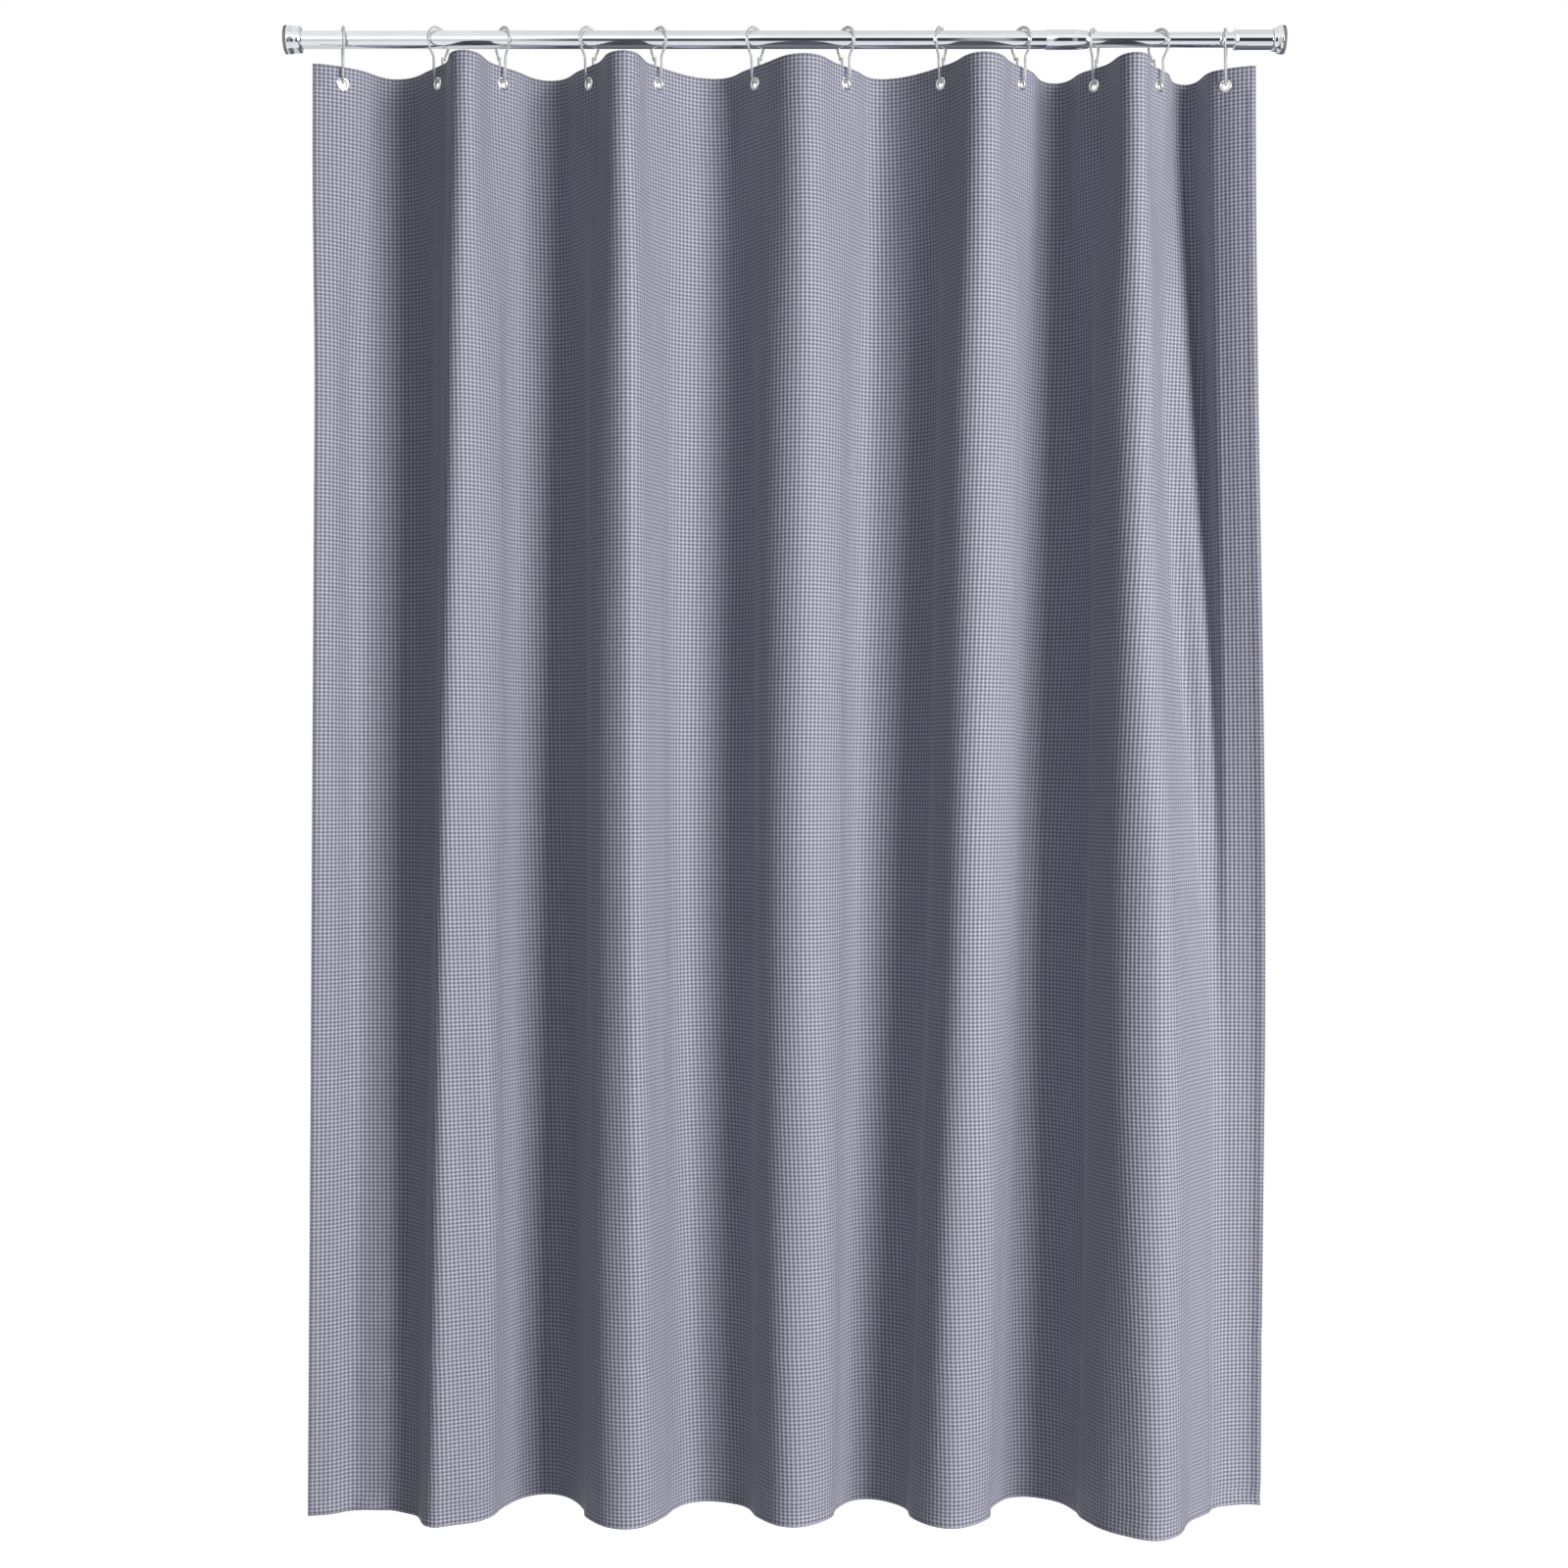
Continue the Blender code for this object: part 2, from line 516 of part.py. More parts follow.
def fold_line(down):
    """The curtain's line seen from above, down from 0 at the top edge to 1 at the hem.  It is as
    long as the cloth is wide."""
    last = RING_COUNT - 1
    tail, late = ease(down / TAIL_OPEN), ease((down - TAIL_LATE) / (1 - TAIL_LATE))
    crests, growth = [], []
    for gap in range(last):
        middle = (RING_X[gap] + RING_X[gap + 1]) / 2
        share = tail if gap == last - 1 else down
        crests.append(middle + mix(TOP_SKEW[gap] * TOP_GAPS[gap], HEM_DRIFT[gap], share))
        growth.append(mix(1.0, HEM_DEPTH[gap], share))
    crossings = [RING_X[0] + EDGE_DRIFT * down]
    crossings += [mix(RING_X[ring], (crests[ring - 1] + crests[ring]) / 2,
                      tail if ring == last - 1 else down) for ring in range(1, last)]
    crossings.append(RING_X[last] + TAIL_DRIFT * tail)
    backs = [0.0] * last + [TAIL_BACK * late]
    gaps = [right - left for left, right in zip(crossings, crossings[1:])]

    def lengths(deepen):
        return [math.sqrt(gaps[gap] ** 2 + backs[gap + 1] ** 2 + (deepen * growth[gap]) ** 2
                          * (GROMMET_PITCH ** 2 - TOP_GAPS[gap] ** 2)) for gap in range(last)]

    deepen = solve(lambda factor: sum(lengths(factor)), GROMMET_PITCH * last, 0.3, 3.0)
    cloth = lengths(deepen)
    natural = [natural_angle(length, gap) for length, gap in zip(cloth, gaps)]
    loosened = ease(down / LOOSENED)
    angles = [mix(GROMMET_TURNS[0], natural[0], loosened)]
    for ring in range(1, last):
        free = (natural[ring - 1] + natural[ring]) / 2 * FOLD_SIDES[ring]
        angles.append(mix(GROMMET_TURNS[ring], free, loosened))
    angles[last - 1] = mix(angles[last - 1], TAIL_ANGLES[0], late)
    angles.append(mix(GROMMET_TURNS[last], TAIL_ANGLES[1], late))

    lead = margin_points(mix(EDGE_ANGLE, 0.0, down), angles[0])
    line = moved(lead, (crossings[0] - lead[-1][0], -lead[-1][1]))
    for gap in range(last):
        beside = crests[gap] - (crossings[gap] + crossings[gap + 1]) / 2
        crest = 0.5 + beside * gaps[gap] / cloth[gap] ** 2
        crest = mix(crest, 0.5, tail) if gap == last - 1 else crest
        shape = solved_fold(cloth[gap], (gaps[gap], backs[gap + 1]), angles[gap:gap + 2],
                            max(0.3, min(0.7, crest)))
        line += moved(shape, line[-1])
    end = margin_points(angles[-1], mix(-EDGE_ANGLE, TAIL_ANGLES[2], late))
    return line + moved(end[1:], line[-1])


def points_along(line, distances):
    """Points at the given distances, in rising order, along a line."""
    scale = length_of(line) / CURTAIN_WIDTH
    found = []
    travelled, piece = 0.0, 0
    step = math.dist(line[0], line[1])
    for distance in distances:
        wanted = distance * scale
        while travelled + step < wanted and piece < len(line) - 2:
            travelled += step
            piece += 1
            step = math.dist(line[piece], line[piece + 1])
        share = min(1.0, (wanted - travelled) / step)
        (x0, y0), (x1, y1) = line[piece], line[piece + 1]
        found.append((x0 + (x1 - x0) * share, y0 + (y1 - y0) * share))
    return found


def drop_at(distance):
    """How far the cloth hangs lower where its rings rest on the thinner tube."""
    place = (distance - SIDE_MARGIN) / GROMMET_PITCH
    ring = max(0, min(RING_COUNT - 2, int(math.floor(place))))
    share = max(0.0, min(1.0, place - ring))
    return RING_DROP[ring] * (1 - share) + RING_DROP[ring + 1] * share


# ------------------------------------------------------------------ curtain
def panel_columns():
    """Distances across the flat cloth: one flat facet under each grommet, even steps between."""
    columns = [0.0]
    for ring in range(RING_COUNT):
        centre = SIDE_MARGIN + ring * GROMMET_PITCH
        columns += [centre - PATCH, centre + PATCH]
        if ring < RING_COUNT - 1:
            run = GROMMET_PITCH - 2 * PATCH
            columns += [centre + PATCH + run * step / PANEL_STEPS_PER_FOLD
                        for step in range(1, PANEL_STEPS_PER_FOLD)]
    return columns + [CURTAIN_WIDTH]


def grommet_place(ring):
    """Centre and turn about the vertical of the flat facet under a grommet."""
    centre = SIDE_MARGIN + ring * GROMMET_PITCH
    (x0, y0), (x1, y1) = points_along(fold_line(0), (centre - PATCH, centre + PATCH))
    middle = Vector(((x0 + x1) / 2, (y0 + y1) / 2, GROMMET_Z - RING_DROP[ring]))
    return middle, math.atan2(y1 - y0, x1 - x0)


def build_panel(parent):
    columns = panel_columns()
    below = CURTAIN_HEIGHT - GROMMET_BAND
    rows = [(0.0, 0.0)] + [(GROMMET_BAND + below * row / PANEL_ROWS_BELOW_BAND,
                            row / PANEL_ROWS_BELOW_BAND)
                           for row in range(PANEL_ROWS_BELOW_BAND + 1)]
    outlines = [points_along(fold_line(down), columns) for _, down in rows]
    top = GROMMET_Z + HEM_ABOVE_GROMMET

    shape = bmesh.new()
    across, high = len(columns) - 1, len(rows) - 1
    bmesh.ops.create_grid(shape, x_segments=across, y_segments=high, size=1.0)
    for corner in shape.verts:
        column = round((corner.co.x + 1) / 2 * across)
        row = round((1 - corner.co.y) / 2 * high)
        x, y = outlines[row][column]
        corner.co = (x, y, top - rows[row][0] - drop_at(columns[column]))
    mesh = bpy.data.meshes.new("curtain_panel")
    shape.to_mesh(mesh)
    shape.free()
    panel = add_object("curtain_panel", mesh, CLOTH, parent)

    thicken = panel.modifiers.new("thickness", "SOLIDIFY")
    thicken.thickness = CLOTH_THICKNESS
    thicken.offset = 0
    thicken.use_even_offset = True
    cut_grommet_holes(panel)


def cut_grommet_holes(panel):
    for ring in range(RING_COUNT):
        place, turn = grommet_place(ring)
        shape = bmesh.new()
        bmesh.ops.create_cone(shape, cap_ends=True, segments=GROMMET_STEPS,
                              radius1=BARREL_R + GAP, radius2=BARREL_R + GAP,
                              depth=8 * CLOTH_THICKNESS)
        mesh = bpy.data.meshes.new(f"hole_cutter_{ring + 1:02d}")
        shape.to_mesh(mesh)
        shape.free()
        cutter = bpy.data.objects.new(mesh.name, mesh)
        CUTTERS.objects.link(cutter)
        cutter.location = place
        cutter.rotation_euler = (math.pi / 2, 0, turn)
        cutter.hide_render = True
        cutter.display_type = "WIRE"
        cut = panel.modifiers.new(mesh.name, "BOOLEAN")
        cut.operation = "DIFFERENCE"
        cut.object = cutter


# ------------------------------------------------------------------ grommets
def grommet_outline():
    """Face flange, barrel and rolled back edge; local +Z is the room side."""
    front = HALF_CLOTH + GAP
    back = -(HALF_CLOTH + 2 * GAP + WASHER_THICKNESS)
    roll_back = back - GROMMET_BARREL_WALL
    flared_r = GROMMET_HOLE_R + GROMMET_FLARE
    return [
        (flared_r, front + GROMMET_DOME), (flared_r + GROMMET_DOME_WIDTH, front + GROMMET_DOME),
        (GROMMET_R - GROMMET_EDGE, front + GROMMET_EDGE), (GROMMET_R, front),
        (BARREL_R, front), (BARREL_R, back), (GROMMET_ROLL_R, back),
        (GROMMET_ROLL_R - GROMMET_ROLL_ROUND, roll_back), (flared_r, roll_back),
        (GROMMET_HOLE_R, back + GROMMET_BARREL_WALL), (GROMMET_HOLE_R, front)]


def washer_outline():
    near = -(HALF_CLOTH + GAP)
    far = near - WASHER_THICKNESS
    hole = BARREL_R + GAP
    return [(hole, near), (WASHER_R, near), (WASHER_R, far), (hole, far)]


def build_grommets(axes):
    grommet_mesh = turned_mesh("grommet", grommet_outline(), True)
    washer_mesh = turned_mesh("grommet_washer", washer_outline(), True)
    grommet_mesh.materials.append(NICKEL)
    washer_mesh.materials.append(NICKEL)
    for ring in range(RING_COUNT):
        place, turn = grommet_place(ring)
        for name, mesh in (("grommet", grommet_mesh), ("grommet_washer", washer_mesh)):
            made = bpy.data.objects.new(f"{name}_{ring + 1:02d}", mesh)
            PARTS.objects.link(made)
            made.parent = axes[ring]
            made.location = place - axes[ring].location
            made.rotation_euler = (math.pi / 2, 0, turn)
            screw(made, GROMMET_STEPS)


# ------------------------------------------------------------------ rings
def arc(centre, radius, start, end, steps):
    """Points on an arc in the ring's plane, as (depth, height)."""
    points = []
    for step in range(steps + 1):
        angle = start + (end - start) * step / steps
        points.append((centre[0] + radius * math.cos(angle), centre[1] + radius * math.sin(angle)))
    return points


def ring_line():
    """The ring's centre line in its own plane: depth is +back, height is from the rod's axis.

    It starts at the tip of the back leg, runs down and round the bottom, up the front leg, through
    the neck, over the rod, and ends at the latch arm beside the tip that it started from."""
    leg = RING_LEG_SPACING / 2
    bottom_centre = (0.0, RING_BOTTOM_WIRE_Z + leg)
    neck_x = RING_LOOP_R * math.cos(RING_NECK_ANGLE)
    neck_z = LOOP_Z - RING_LOOP_R * math.sin(RING_NECK_ANGLE)
    reach = (neck_x - leg) / math.sin(RING_NECK_ANGLE)
    leg_top = neck_z - reach * math.cos(RING_NECK_ANGLE)
    tip = (leg, leg_top + RING_LATCH_OVERLAP)
    line = [tip, (leg, (tip[1] + bottom_centre[1]) / 2)]
    line += arc(bottom_centre, leg, 0.0, -math.pi, RING_BEND_STEPS)
    line += [(-leg, (leg_top + bottom_centre[1]) / 2), (-leg, leg_top - RING_SHOULDER)]
    line += [(-leg - RING_SHOULDER / 4, leg_top)]
    line += arc((0.0, LOOP_Z), RING_LOOP_R, math.pi + RING_NECK_ANGLE, -RING_NECK_ANGLE,
                RING_LOOP_STEPS)
    line += [(leg + RING_LATCH_SPACING, leg_top + RING_ARM_DROP)]
    return line


def ring_curve():
    line = ring_line()
    curve = bpy.data.curves.new("snap_ring", "CURVE")
    curve.dimensions = "3D"
    curve.bevel_depth = RING_WIRE_R
    curve.bevel_resolution = 1
    curve.use_fill_caps = True
    spline = curve.splines.new("POLY")
    spline.points.add(len(line) - 1)
    for point, (depth, height) in zip(spline.points, line):
        point.co = (0, depth, height, 1)
        over_rod = max(0.0, min(1.0, (height - LOOP_Z) / RING_LOOP_R))
        point.radius = 1 + (RING_CROWN_SWELL - 1) * over_rod
    spline.use_smooth = True
    curve.materials.append(CLEAR_PLASTIC)
    return curve


def build_rings(swing_axis):
    """The rings, and an empty for each on the rod's axis that carries its grommet too."""
    curve = ring_curve()
    axes = []
    for ring in range(RING_COUNT):
        axis = add_axis(f"ring_axis_{ring + 1:02d}", (RING_X[ring], 0, 0), swing_axis)
        made = bpy.data.objects.new(f"ring_{ring + 1:02d}", curve)
        PARTS.objects.link(made)
        made.parent = axis
        made.location = (0, 0, -RING_DROP[ring])
        made.rotation_euler = (0, 0, math.radians(RING_TURNS[ring]))
        axes.append(axis)
    return axes


def main():
    build_large_tube_side()
    lock_carriage = add_axis("lock_carriage_axis", (COLLET_END, 0, 0))
    build_lock(lock_carriage)
    inner_axis = add_axis("inner_tube_axis", (INNER_TUBE_START, 0, 0))
    build_small_tube_side(inner_axis)
    swing_axis = add_axis("curtain_swing_axis", (0, 0, 0))
    ring_axes = build_rings(swing_axis)
    build_grommets(ring_axes)
    build_panel(swing_axis)


main()
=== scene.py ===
"""Looks of a waffle-weave shower curtain on a telescoping tension rod.

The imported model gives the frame: metres, +X along the rod, +Z up, and the room side towards -Y.
Each visible piece is modelled again here at full fineness and rides on the body that it belongs to.
"""
import math

import bmesh
import bpy
import numpy as np
from mathutils import Matrix, Vector


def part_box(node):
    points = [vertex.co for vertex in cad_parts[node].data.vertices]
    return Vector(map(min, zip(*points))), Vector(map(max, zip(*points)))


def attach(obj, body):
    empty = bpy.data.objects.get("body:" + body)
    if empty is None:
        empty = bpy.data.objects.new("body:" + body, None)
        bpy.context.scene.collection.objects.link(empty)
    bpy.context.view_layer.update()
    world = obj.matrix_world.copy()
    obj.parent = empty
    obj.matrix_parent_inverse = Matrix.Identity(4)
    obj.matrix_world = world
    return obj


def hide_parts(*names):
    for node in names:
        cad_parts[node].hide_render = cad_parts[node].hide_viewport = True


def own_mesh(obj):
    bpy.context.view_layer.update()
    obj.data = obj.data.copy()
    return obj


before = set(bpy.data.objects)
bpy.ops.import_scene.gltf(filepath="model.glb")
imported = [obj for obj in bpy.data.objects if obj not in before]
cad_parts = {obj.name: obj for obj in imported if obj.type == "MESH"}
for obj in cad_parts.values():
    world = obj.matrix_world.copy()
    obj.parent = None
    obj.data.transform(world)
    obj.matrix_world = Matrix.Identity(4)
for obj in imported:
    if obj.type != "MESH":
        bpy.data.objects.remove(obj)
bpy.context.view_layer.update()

RING_COUNT = 12


# ------------------------------------------------------------------ shader expressions
class Value:
    """A socket that shader maths can be written with."""

    def __init__(self, finish, socket):
        self.finish = finish
        self.socket = socket

    def maths(self, operation, *values):
        inputs = dict(enumerate(values))
        return self.finish.node("ShaderNodeMath", inputs, operation=operation)

    def __add__(self, other):
        return self.maths("ADD", self, other)

    __radd__ = __add__

    def __sub__(self, other):
        return self.maths("SUBTRACT", self, other)

    def __rsub__(self, other):
        return self.maths("SUBTRACT", other, self)

    def __mul__(self, other):
        return self.maths("MULTIPLY", self, other)

    __rmul__ = __mul__

    def __truediv__(self, other):
        return self.maths("DIVIDE", self, other)

    def __rtruediv__(self, other):
        return self.maths("DIVIDE", other, self)

    def __pow__(self, other):
        return self.maths("POWER", self, other)

    def __rpow__(self, other):
        return self.maths("POWER", other, self)


class Nodes:
    """A node tree and the expressions that are written in it."""

    def __init__(self, tree):
        self.tree = tree

    def node(self, kind, inputs=None, out=0, stops=None, **settings):
        """A node with its settings, its inputs' values or links, and one of its outputs."""
        made = self.tree.nodes.new(kind)
        for name, value in settings.items():
            setattr(made, name, value)
        if stops:
            ramp = made.color_ramp
            while len(ramp.elements) < len(stops):
                ramp.elements.new(0.5)
            for element, (place, colour) in zip(ramp.elements, stops):
                element.position = place
                element.color = (*colour, 1.0)
        for name, value in (inputs or {}).items():
            self.feed(made.inputs[name], value)
        return Value(self, made.outputs[out])

    def feed(self, socket, value):
        if isinstance(value, Value):
            self.tree.links.new(value.socket, socket)
        elif socket.type == "RGBA":
            socket.default_value = (*value, 1.0)
        else:
            socket.default_value = value

    def mix(self, factor, first, second):
        """Two colours mixed by a factor."""
        return self.node("ShaderNodeMix", {0: factor, 6: first, 7: second}, out=2,
                         data_type="RGBA")

    def noise(self, where, scale, detail=2.0, roughness=0.5):
        return self.node("ShaderNodeTexNoise", {"Vector": where, "Scale": scale, "Detail": detail,
                                                "Roughness": roughness})

    def place(self, scale=(1.0, 1.0, 1.0)):
        """Object coordinates, stretched."""
        where = self.node("ShaderNodeTexCoord", out="Object")
        return self.node("ShaderNodeMapping", {"Vector": where, "Scale": scale})

    def bump(self, height, distance, strength=1.0):
        return self.node("ShaderNodeBump", {"Height": height, "Distance": distance,
                                            "Strength": strength})


class Finish(Nodes):
    """A material made round the shader at its end."""

    def __init__(self, name):
        self.material = bpy.data.materials.new(name)
        self.material.use_nodes = True
        super().__init__(self.material.node_tree)
        self.shader = self.tree.nodes["Principled BSDF"]

    def set(self, **inputs):
        """Feed the shader's sockets; an underscore in a name stands for a space."""
        for name, value in inputs.items():
            self.feed(self.shader.inputs[name.replace("_", " ")], value)


# ------------------------------------------------------------------ finishes
CLOTH_CELL = (0.0054, 0.0049)           # one waffle cell, across and down
THREADS_PER_CELL = 6
CLOTH_KNOT_HIGHLIGHT = (0.560, 0.565, 0.680)      # painted highlight on the raised crossings of the cells' walls
CLOTH_LIGHT = (0.315, 0.317, 0.402)     # walls of the cells
CLOTH_PIT_SHADE = (0.045, 0.044, 0.070)      # painted shade in the bottoms of the cells
CLOTH_SLUB = (0.29, 0.28, 0.33)         # thicker lengths of thread
CLOTH_CLOUD = (0.15, 0.15, 0.20)        # slow change of shade over the cloth
TOP_HEM = 0.030
SIDE_HEM = 0.0087
FOOT_HEM = 0.0105
CLOTH_WIDTH = 1.829
CLOTH_HEIGHT = 1.829


def chrome_finish():
    made = Finish("polished_chrome")
    streaks = made.noise(made.place((6.0, 220.0, 220.0)), 1.0, 3.0)
    smears = made.noise(made.place(), 38.0, 3.0)
    made.set(Base_Color=made.mix(smears, (0.80, 0.81, 0.83), (0.88, 0.89, 0.90)), Metallic=1.0,
             Roughness=0.035 + 0.06 * streaks * smears)
    return made.material


def rubber_finish():
    made = Finish("pad_rubber")
    speckle = made.noise(made.place(), 900.0, 2.0)
    made.set(Base_Color=made.mix(speckle, (0.15, 0.15, 0.16), (0.23, 0.23, 0.24)),
             Roughness=0.68 + 0.12 * speckle, Normal=made.bump(speckle, 0.0002))
    return made.material


def clear_plastic_finish():
    made = Finish("clear_ring_plastic")
    flow = made.noise(made.place(), 120.0, 2.0)
    made.set(Base_Color=made.mix(flow, (0.66, 0.67, 0.68), (0.80, 0.81, 0.82)),
             Roughness=0.06 + 0.08 * flow, IOR=1.46, Transmission_Weight=0.62,
             Normal=made.bump(flow, 0.0003))
    return made.material


def nickel_finish():
    made = Finish("grommet_plate")
    wear = made.noise(made.place(), 420.0, 3.0)
    made.set(Base_Color=made.mix(wear, (0.70, 0.69, 0.66), (0.82, 0.81, 0.79)), Metallic=1.0,
             Roughness=0.14 + 0.16 * wear)
    return made.material


def steel_finish():
    made = Finish("lock_steel")
    turning = made.noise(made.place((900.0, 8.0, 8.0)), 1.0, 2.0)
    made.set(Base_Color=made.mix(turning, (0.42, 0.42, 0.43), (0.58, 0.58, 0.59)), Metallic=1.0,
             Roughness=0.25 + 0.2 * turning)
    return made.material


def lock_plastic_finish():
    made = Finish("lock_plastic")
    grain = made.noise(made.place(), 700.0, 2.0)
    made.set(Base_Color=made.mix(grain, (0.70, 0.69, 0.66), (0.80, 0.79, 0.76)),
             Roughness=0.42 + 0.12 * grain, Normal=made.bump(grain, 0.0001))
    return made.material


def waffle_finish():
    """Waffle weave on the cloth's own flat coordinates, in metres from its top left corner, with
    painted shade in the cells' bottoms and painted highlights on the raised crossings.
    """
    made = Finish("waffle_cloth")
    flat = made.node("ShaderNodeUVMap", uv_map="flat")
    across = made.node("ShaderNodeSeparateXYZ", {0: flat}, out="X")
    down = Value(made, across.socket.node.outputs["Y"])

    def ripple(along, length):
        """0 on a thread's crest and 1 half way to the next."""
        turn = along * (math.tau / length)
        return 0.5 - 0.5 * turn.maths("COSINE", turn)

    hollow_across, hollow_down = ripple(across, CLOTH_CELL[0]), ripple(down, CLOTH_CELL[1])
    pit_and_shade = (hollow_across * hollow_down) ** 0.8
    knot_highlight = ((1 - hollow_across) * (1 - hollow_down)) ** 1.5
    floats = (ripple(across, CLOTH_CELL[0] / THREADS_PER_CELL)
              * ripple(down, CLOTH_CELL[1] / THREADS_PER_CELL))
    slub = made.noise(made.node("ShaderNodeMapping", {"Vector": flat, "Scale": (900.0, 60.0, 1.0)}),
                      1.0, 2.0)
    cloudy = made.noise(flat, 9.0, 2.0)
    # painted shade: the cells' bottoms and, a little, the gaps between threads are darkened
    colour = made.mix(pit_and_shade * 0.92 + floats * 0.08, CLOTH_LIGHT, CLOTH_PIT_SHADE)
    # painted highlight: the raised crossings are lightened
    colour = made.mix(knot_highlight * 0.8, colour, CLOTH_KNOT_HIGHLIGHT)
    colour = made.mix(0.15 * slub, colour, CLOTH_SLUB)
    made.set(Base_Color=made.mix(0.18 * cloudy, colour, CLOTH_CLOUD),
             Roughness=0.50 + 0.25 * pit_and_shade,
             Normal=made.bump(1 - pit_and_shade * 0.8 - floats * 0.05 + 0.04 * slub, 0.0011),
             Sheen_Weight=0.25, Sheen_Roughness=0.4, Specular_IOR_Level=0.55)
    return made.material


CHROME = chrome_finish()
RUBBER = rubber_finish()
CLEAR = clear_plastic_finish()
NICKEL = nickel_finish()
STEEL = steel_finish()
LOCK_PLASTIC = lock_plastic_finish()
WAFFLE = waffle_finish()


# ------------------------------------------------------------------ pieces
def add_piece(shape, name, material, smooth_angle=40):
    """A finished bmesh as a piece at the origin."""
    mesh = bpy.data.meshes.new(name)
    shape.to_mesh(mesh)
    shape.free()
    mesh.materials.append(material)
    mesh.shade_smooth()
    mesh.set_sharp_from_angle(angle=math.radians(smooth_angle))
    made = bpy.data.objects.new(name, mesh)
    bpy.context.scene.collection.objects.link(made)
    return made


def turned(outline, steps=96):
    """A shape turned about the rod's axis from an outline of (radius, distance along the rod)."""
    shape = bmesh.new()
    points = [shape.verts.new((along, 0.0, radius)) for radius, along in outline]
    edges = [shape.edges.new(pair) for pair in zip(points, points[1:])]
    if outline[0][0] > 0 or outline[-1][0] > 0:
        edges.append(shape.edges.new((points[-1], points[0])))
    bmesh.ops.spin(shape, geom=points + edges, cent=(0, 0, 0), axis=(1, 0, 0),
                   angle=math.tau, steps=steps, use_merge=True)
    bmesh.ops.remove_doubles(shape, verts=shape.verts, dist=1e-6)
    bmesh.ops.recalc_face_normals(shape, faces=shape.faces)
    return shape


def rounded(corner, before, after, radius, steps=5):
    """Points round a corner of an outline, from the side of one neighbour to the other."""
    corner, before, after = Vector(corner), Vector(before), Vector(after)
    start = corner + (before - corner).normalized() * radius
    end = corner + (after - corner).normalized() * radius
    points = []
    for step in range(steps + 1):
        share = step / steps
        first = start.lerp(corner, share)
        points.append(tuple(first.lerp(corner.lerp(end, share), share)))
    return points


def soft_outline(corners):
    """An outline whose corners (radius, along, rounding) are rounded where rounding is above 0."""
    points = []
    count = len(corners)
    for index, (radius, along, rounding) in enumerate(corners):
        if rounding > 0:
            before = corners[index - 1][:2]
            after = corners[(index + 1) % count][:2]
            points += rounded((radius, along), before, after, rounding)
        else:
            points.append((radius, along))
    return points


def radius_of(node):
    low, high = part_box(node)
    return (high.z - low.z) / 2


def rod_piece(outline, node, body, material, steps=96):
    made = add_piece(turned(outline, steps), f"{node}_fine", material)
    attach(made, body)
    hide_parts(node)
    return made


# ------------------------------------------------------------------ rod
TUBE_WALL = 0.0009
EDGE = 0.0004                           # rounding of the tubes' ends
BORE_PLAY = EDGE / 2                    # bores of what sits on a tube

COLLAR_EDGE = 0.0006                    # bevel at the collar's large end
COLLAR_SOFTENING = 0.3                  # how near the bevel's middle comes to the corner
NOSE_WALL = 0.0006                      # at the nose's small end
NOSE_STEPS = 16

CAP_WALL = 0.0010
CAP_RIM = 0.0030                        # depth of the rolled rim outside
CAP_RIM_INSIDE = 0.0020
CAP_NECK_ROUNDING = 0.0024
CAP_WAIST_ROUNDING = 0.0020
CAP_SHOULDER_ROUNDING = 0.0012
CAP_RIM_ROUNDING = 0.0005

SLEEVE_LIP_RISE = 0.0007
SLEEVE_LIP = 0.0018                     # length of the lip
SLEEVE_STEP = 0.0036                    # end of the slope behind it
SLEEVE_LIP_ROUNDING = 0.0006
SLEEVE_STEP_ROUNDING = 0.0010

PAD_THICKNESS = 0.0035
PAD_PLUG_PLAY = 0.0003
PAD_ROUNDING = 0.0010
PAD_FACE_ROUNDING = 0.0008
GRIP_RINGS = 3                          # shallow grooves in the pad's face
GRIP_FROM_RIM = 0.0030
GRIP_PITCH = 0.0040
GRIP_WIDTH = 0.0016
GRIP_SLOPE = 0.0004
GRIP_DEPTH = 0.0006


def build_tube(node, body):
    low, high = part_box(node)
    outside = radius_of(node)
    inside = outside - TUBE_WALL
    outline = [(outside, high.x, EDGE), (outside, low.x, EDGE), (inside, low.x, 0),
               (inside, high.x, 0)]
    rod_piece(soft_outline(outline), node, body, CHROME)


def build_collar():
    """Straight over the large tube, then a rounded nose down to the small one."""
    low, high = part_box("collar")
    outside = radius_of("collar")
    tube = radius_of("outer_tube") + BORE_PLAY
    small_tube = radius_of("inner_tube") + BORE_PLAY
    nose = small_tube + NOSE_WALL
    middle = (low.x + high.x) / 2
    step_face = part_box("outer_tube")[1].x + EDGE
    outline = []
    for step in range(NOSE_STEPS + 1):
        angle = math.pi / 2 * step / NOSE_STEPS
        outline.append((nose + (outside - nose) * math.sin(angle),
                        middle + (high.x - middle) * math.cos(angle)))
    soft = COLLAR_EDGE * COLLAR_SOFTENING
    outline += [(outside, low.x + COLLAR_EDGE), (outside - soft, low.x + soft),
                (outside - COLLAR_EDGE, low.x), (tube, low.x), (tube, step_face),
                (small_tube, step_face), (small_tube, high.x)]
    rod_piece(outline, "collar", "rod", CHROME)


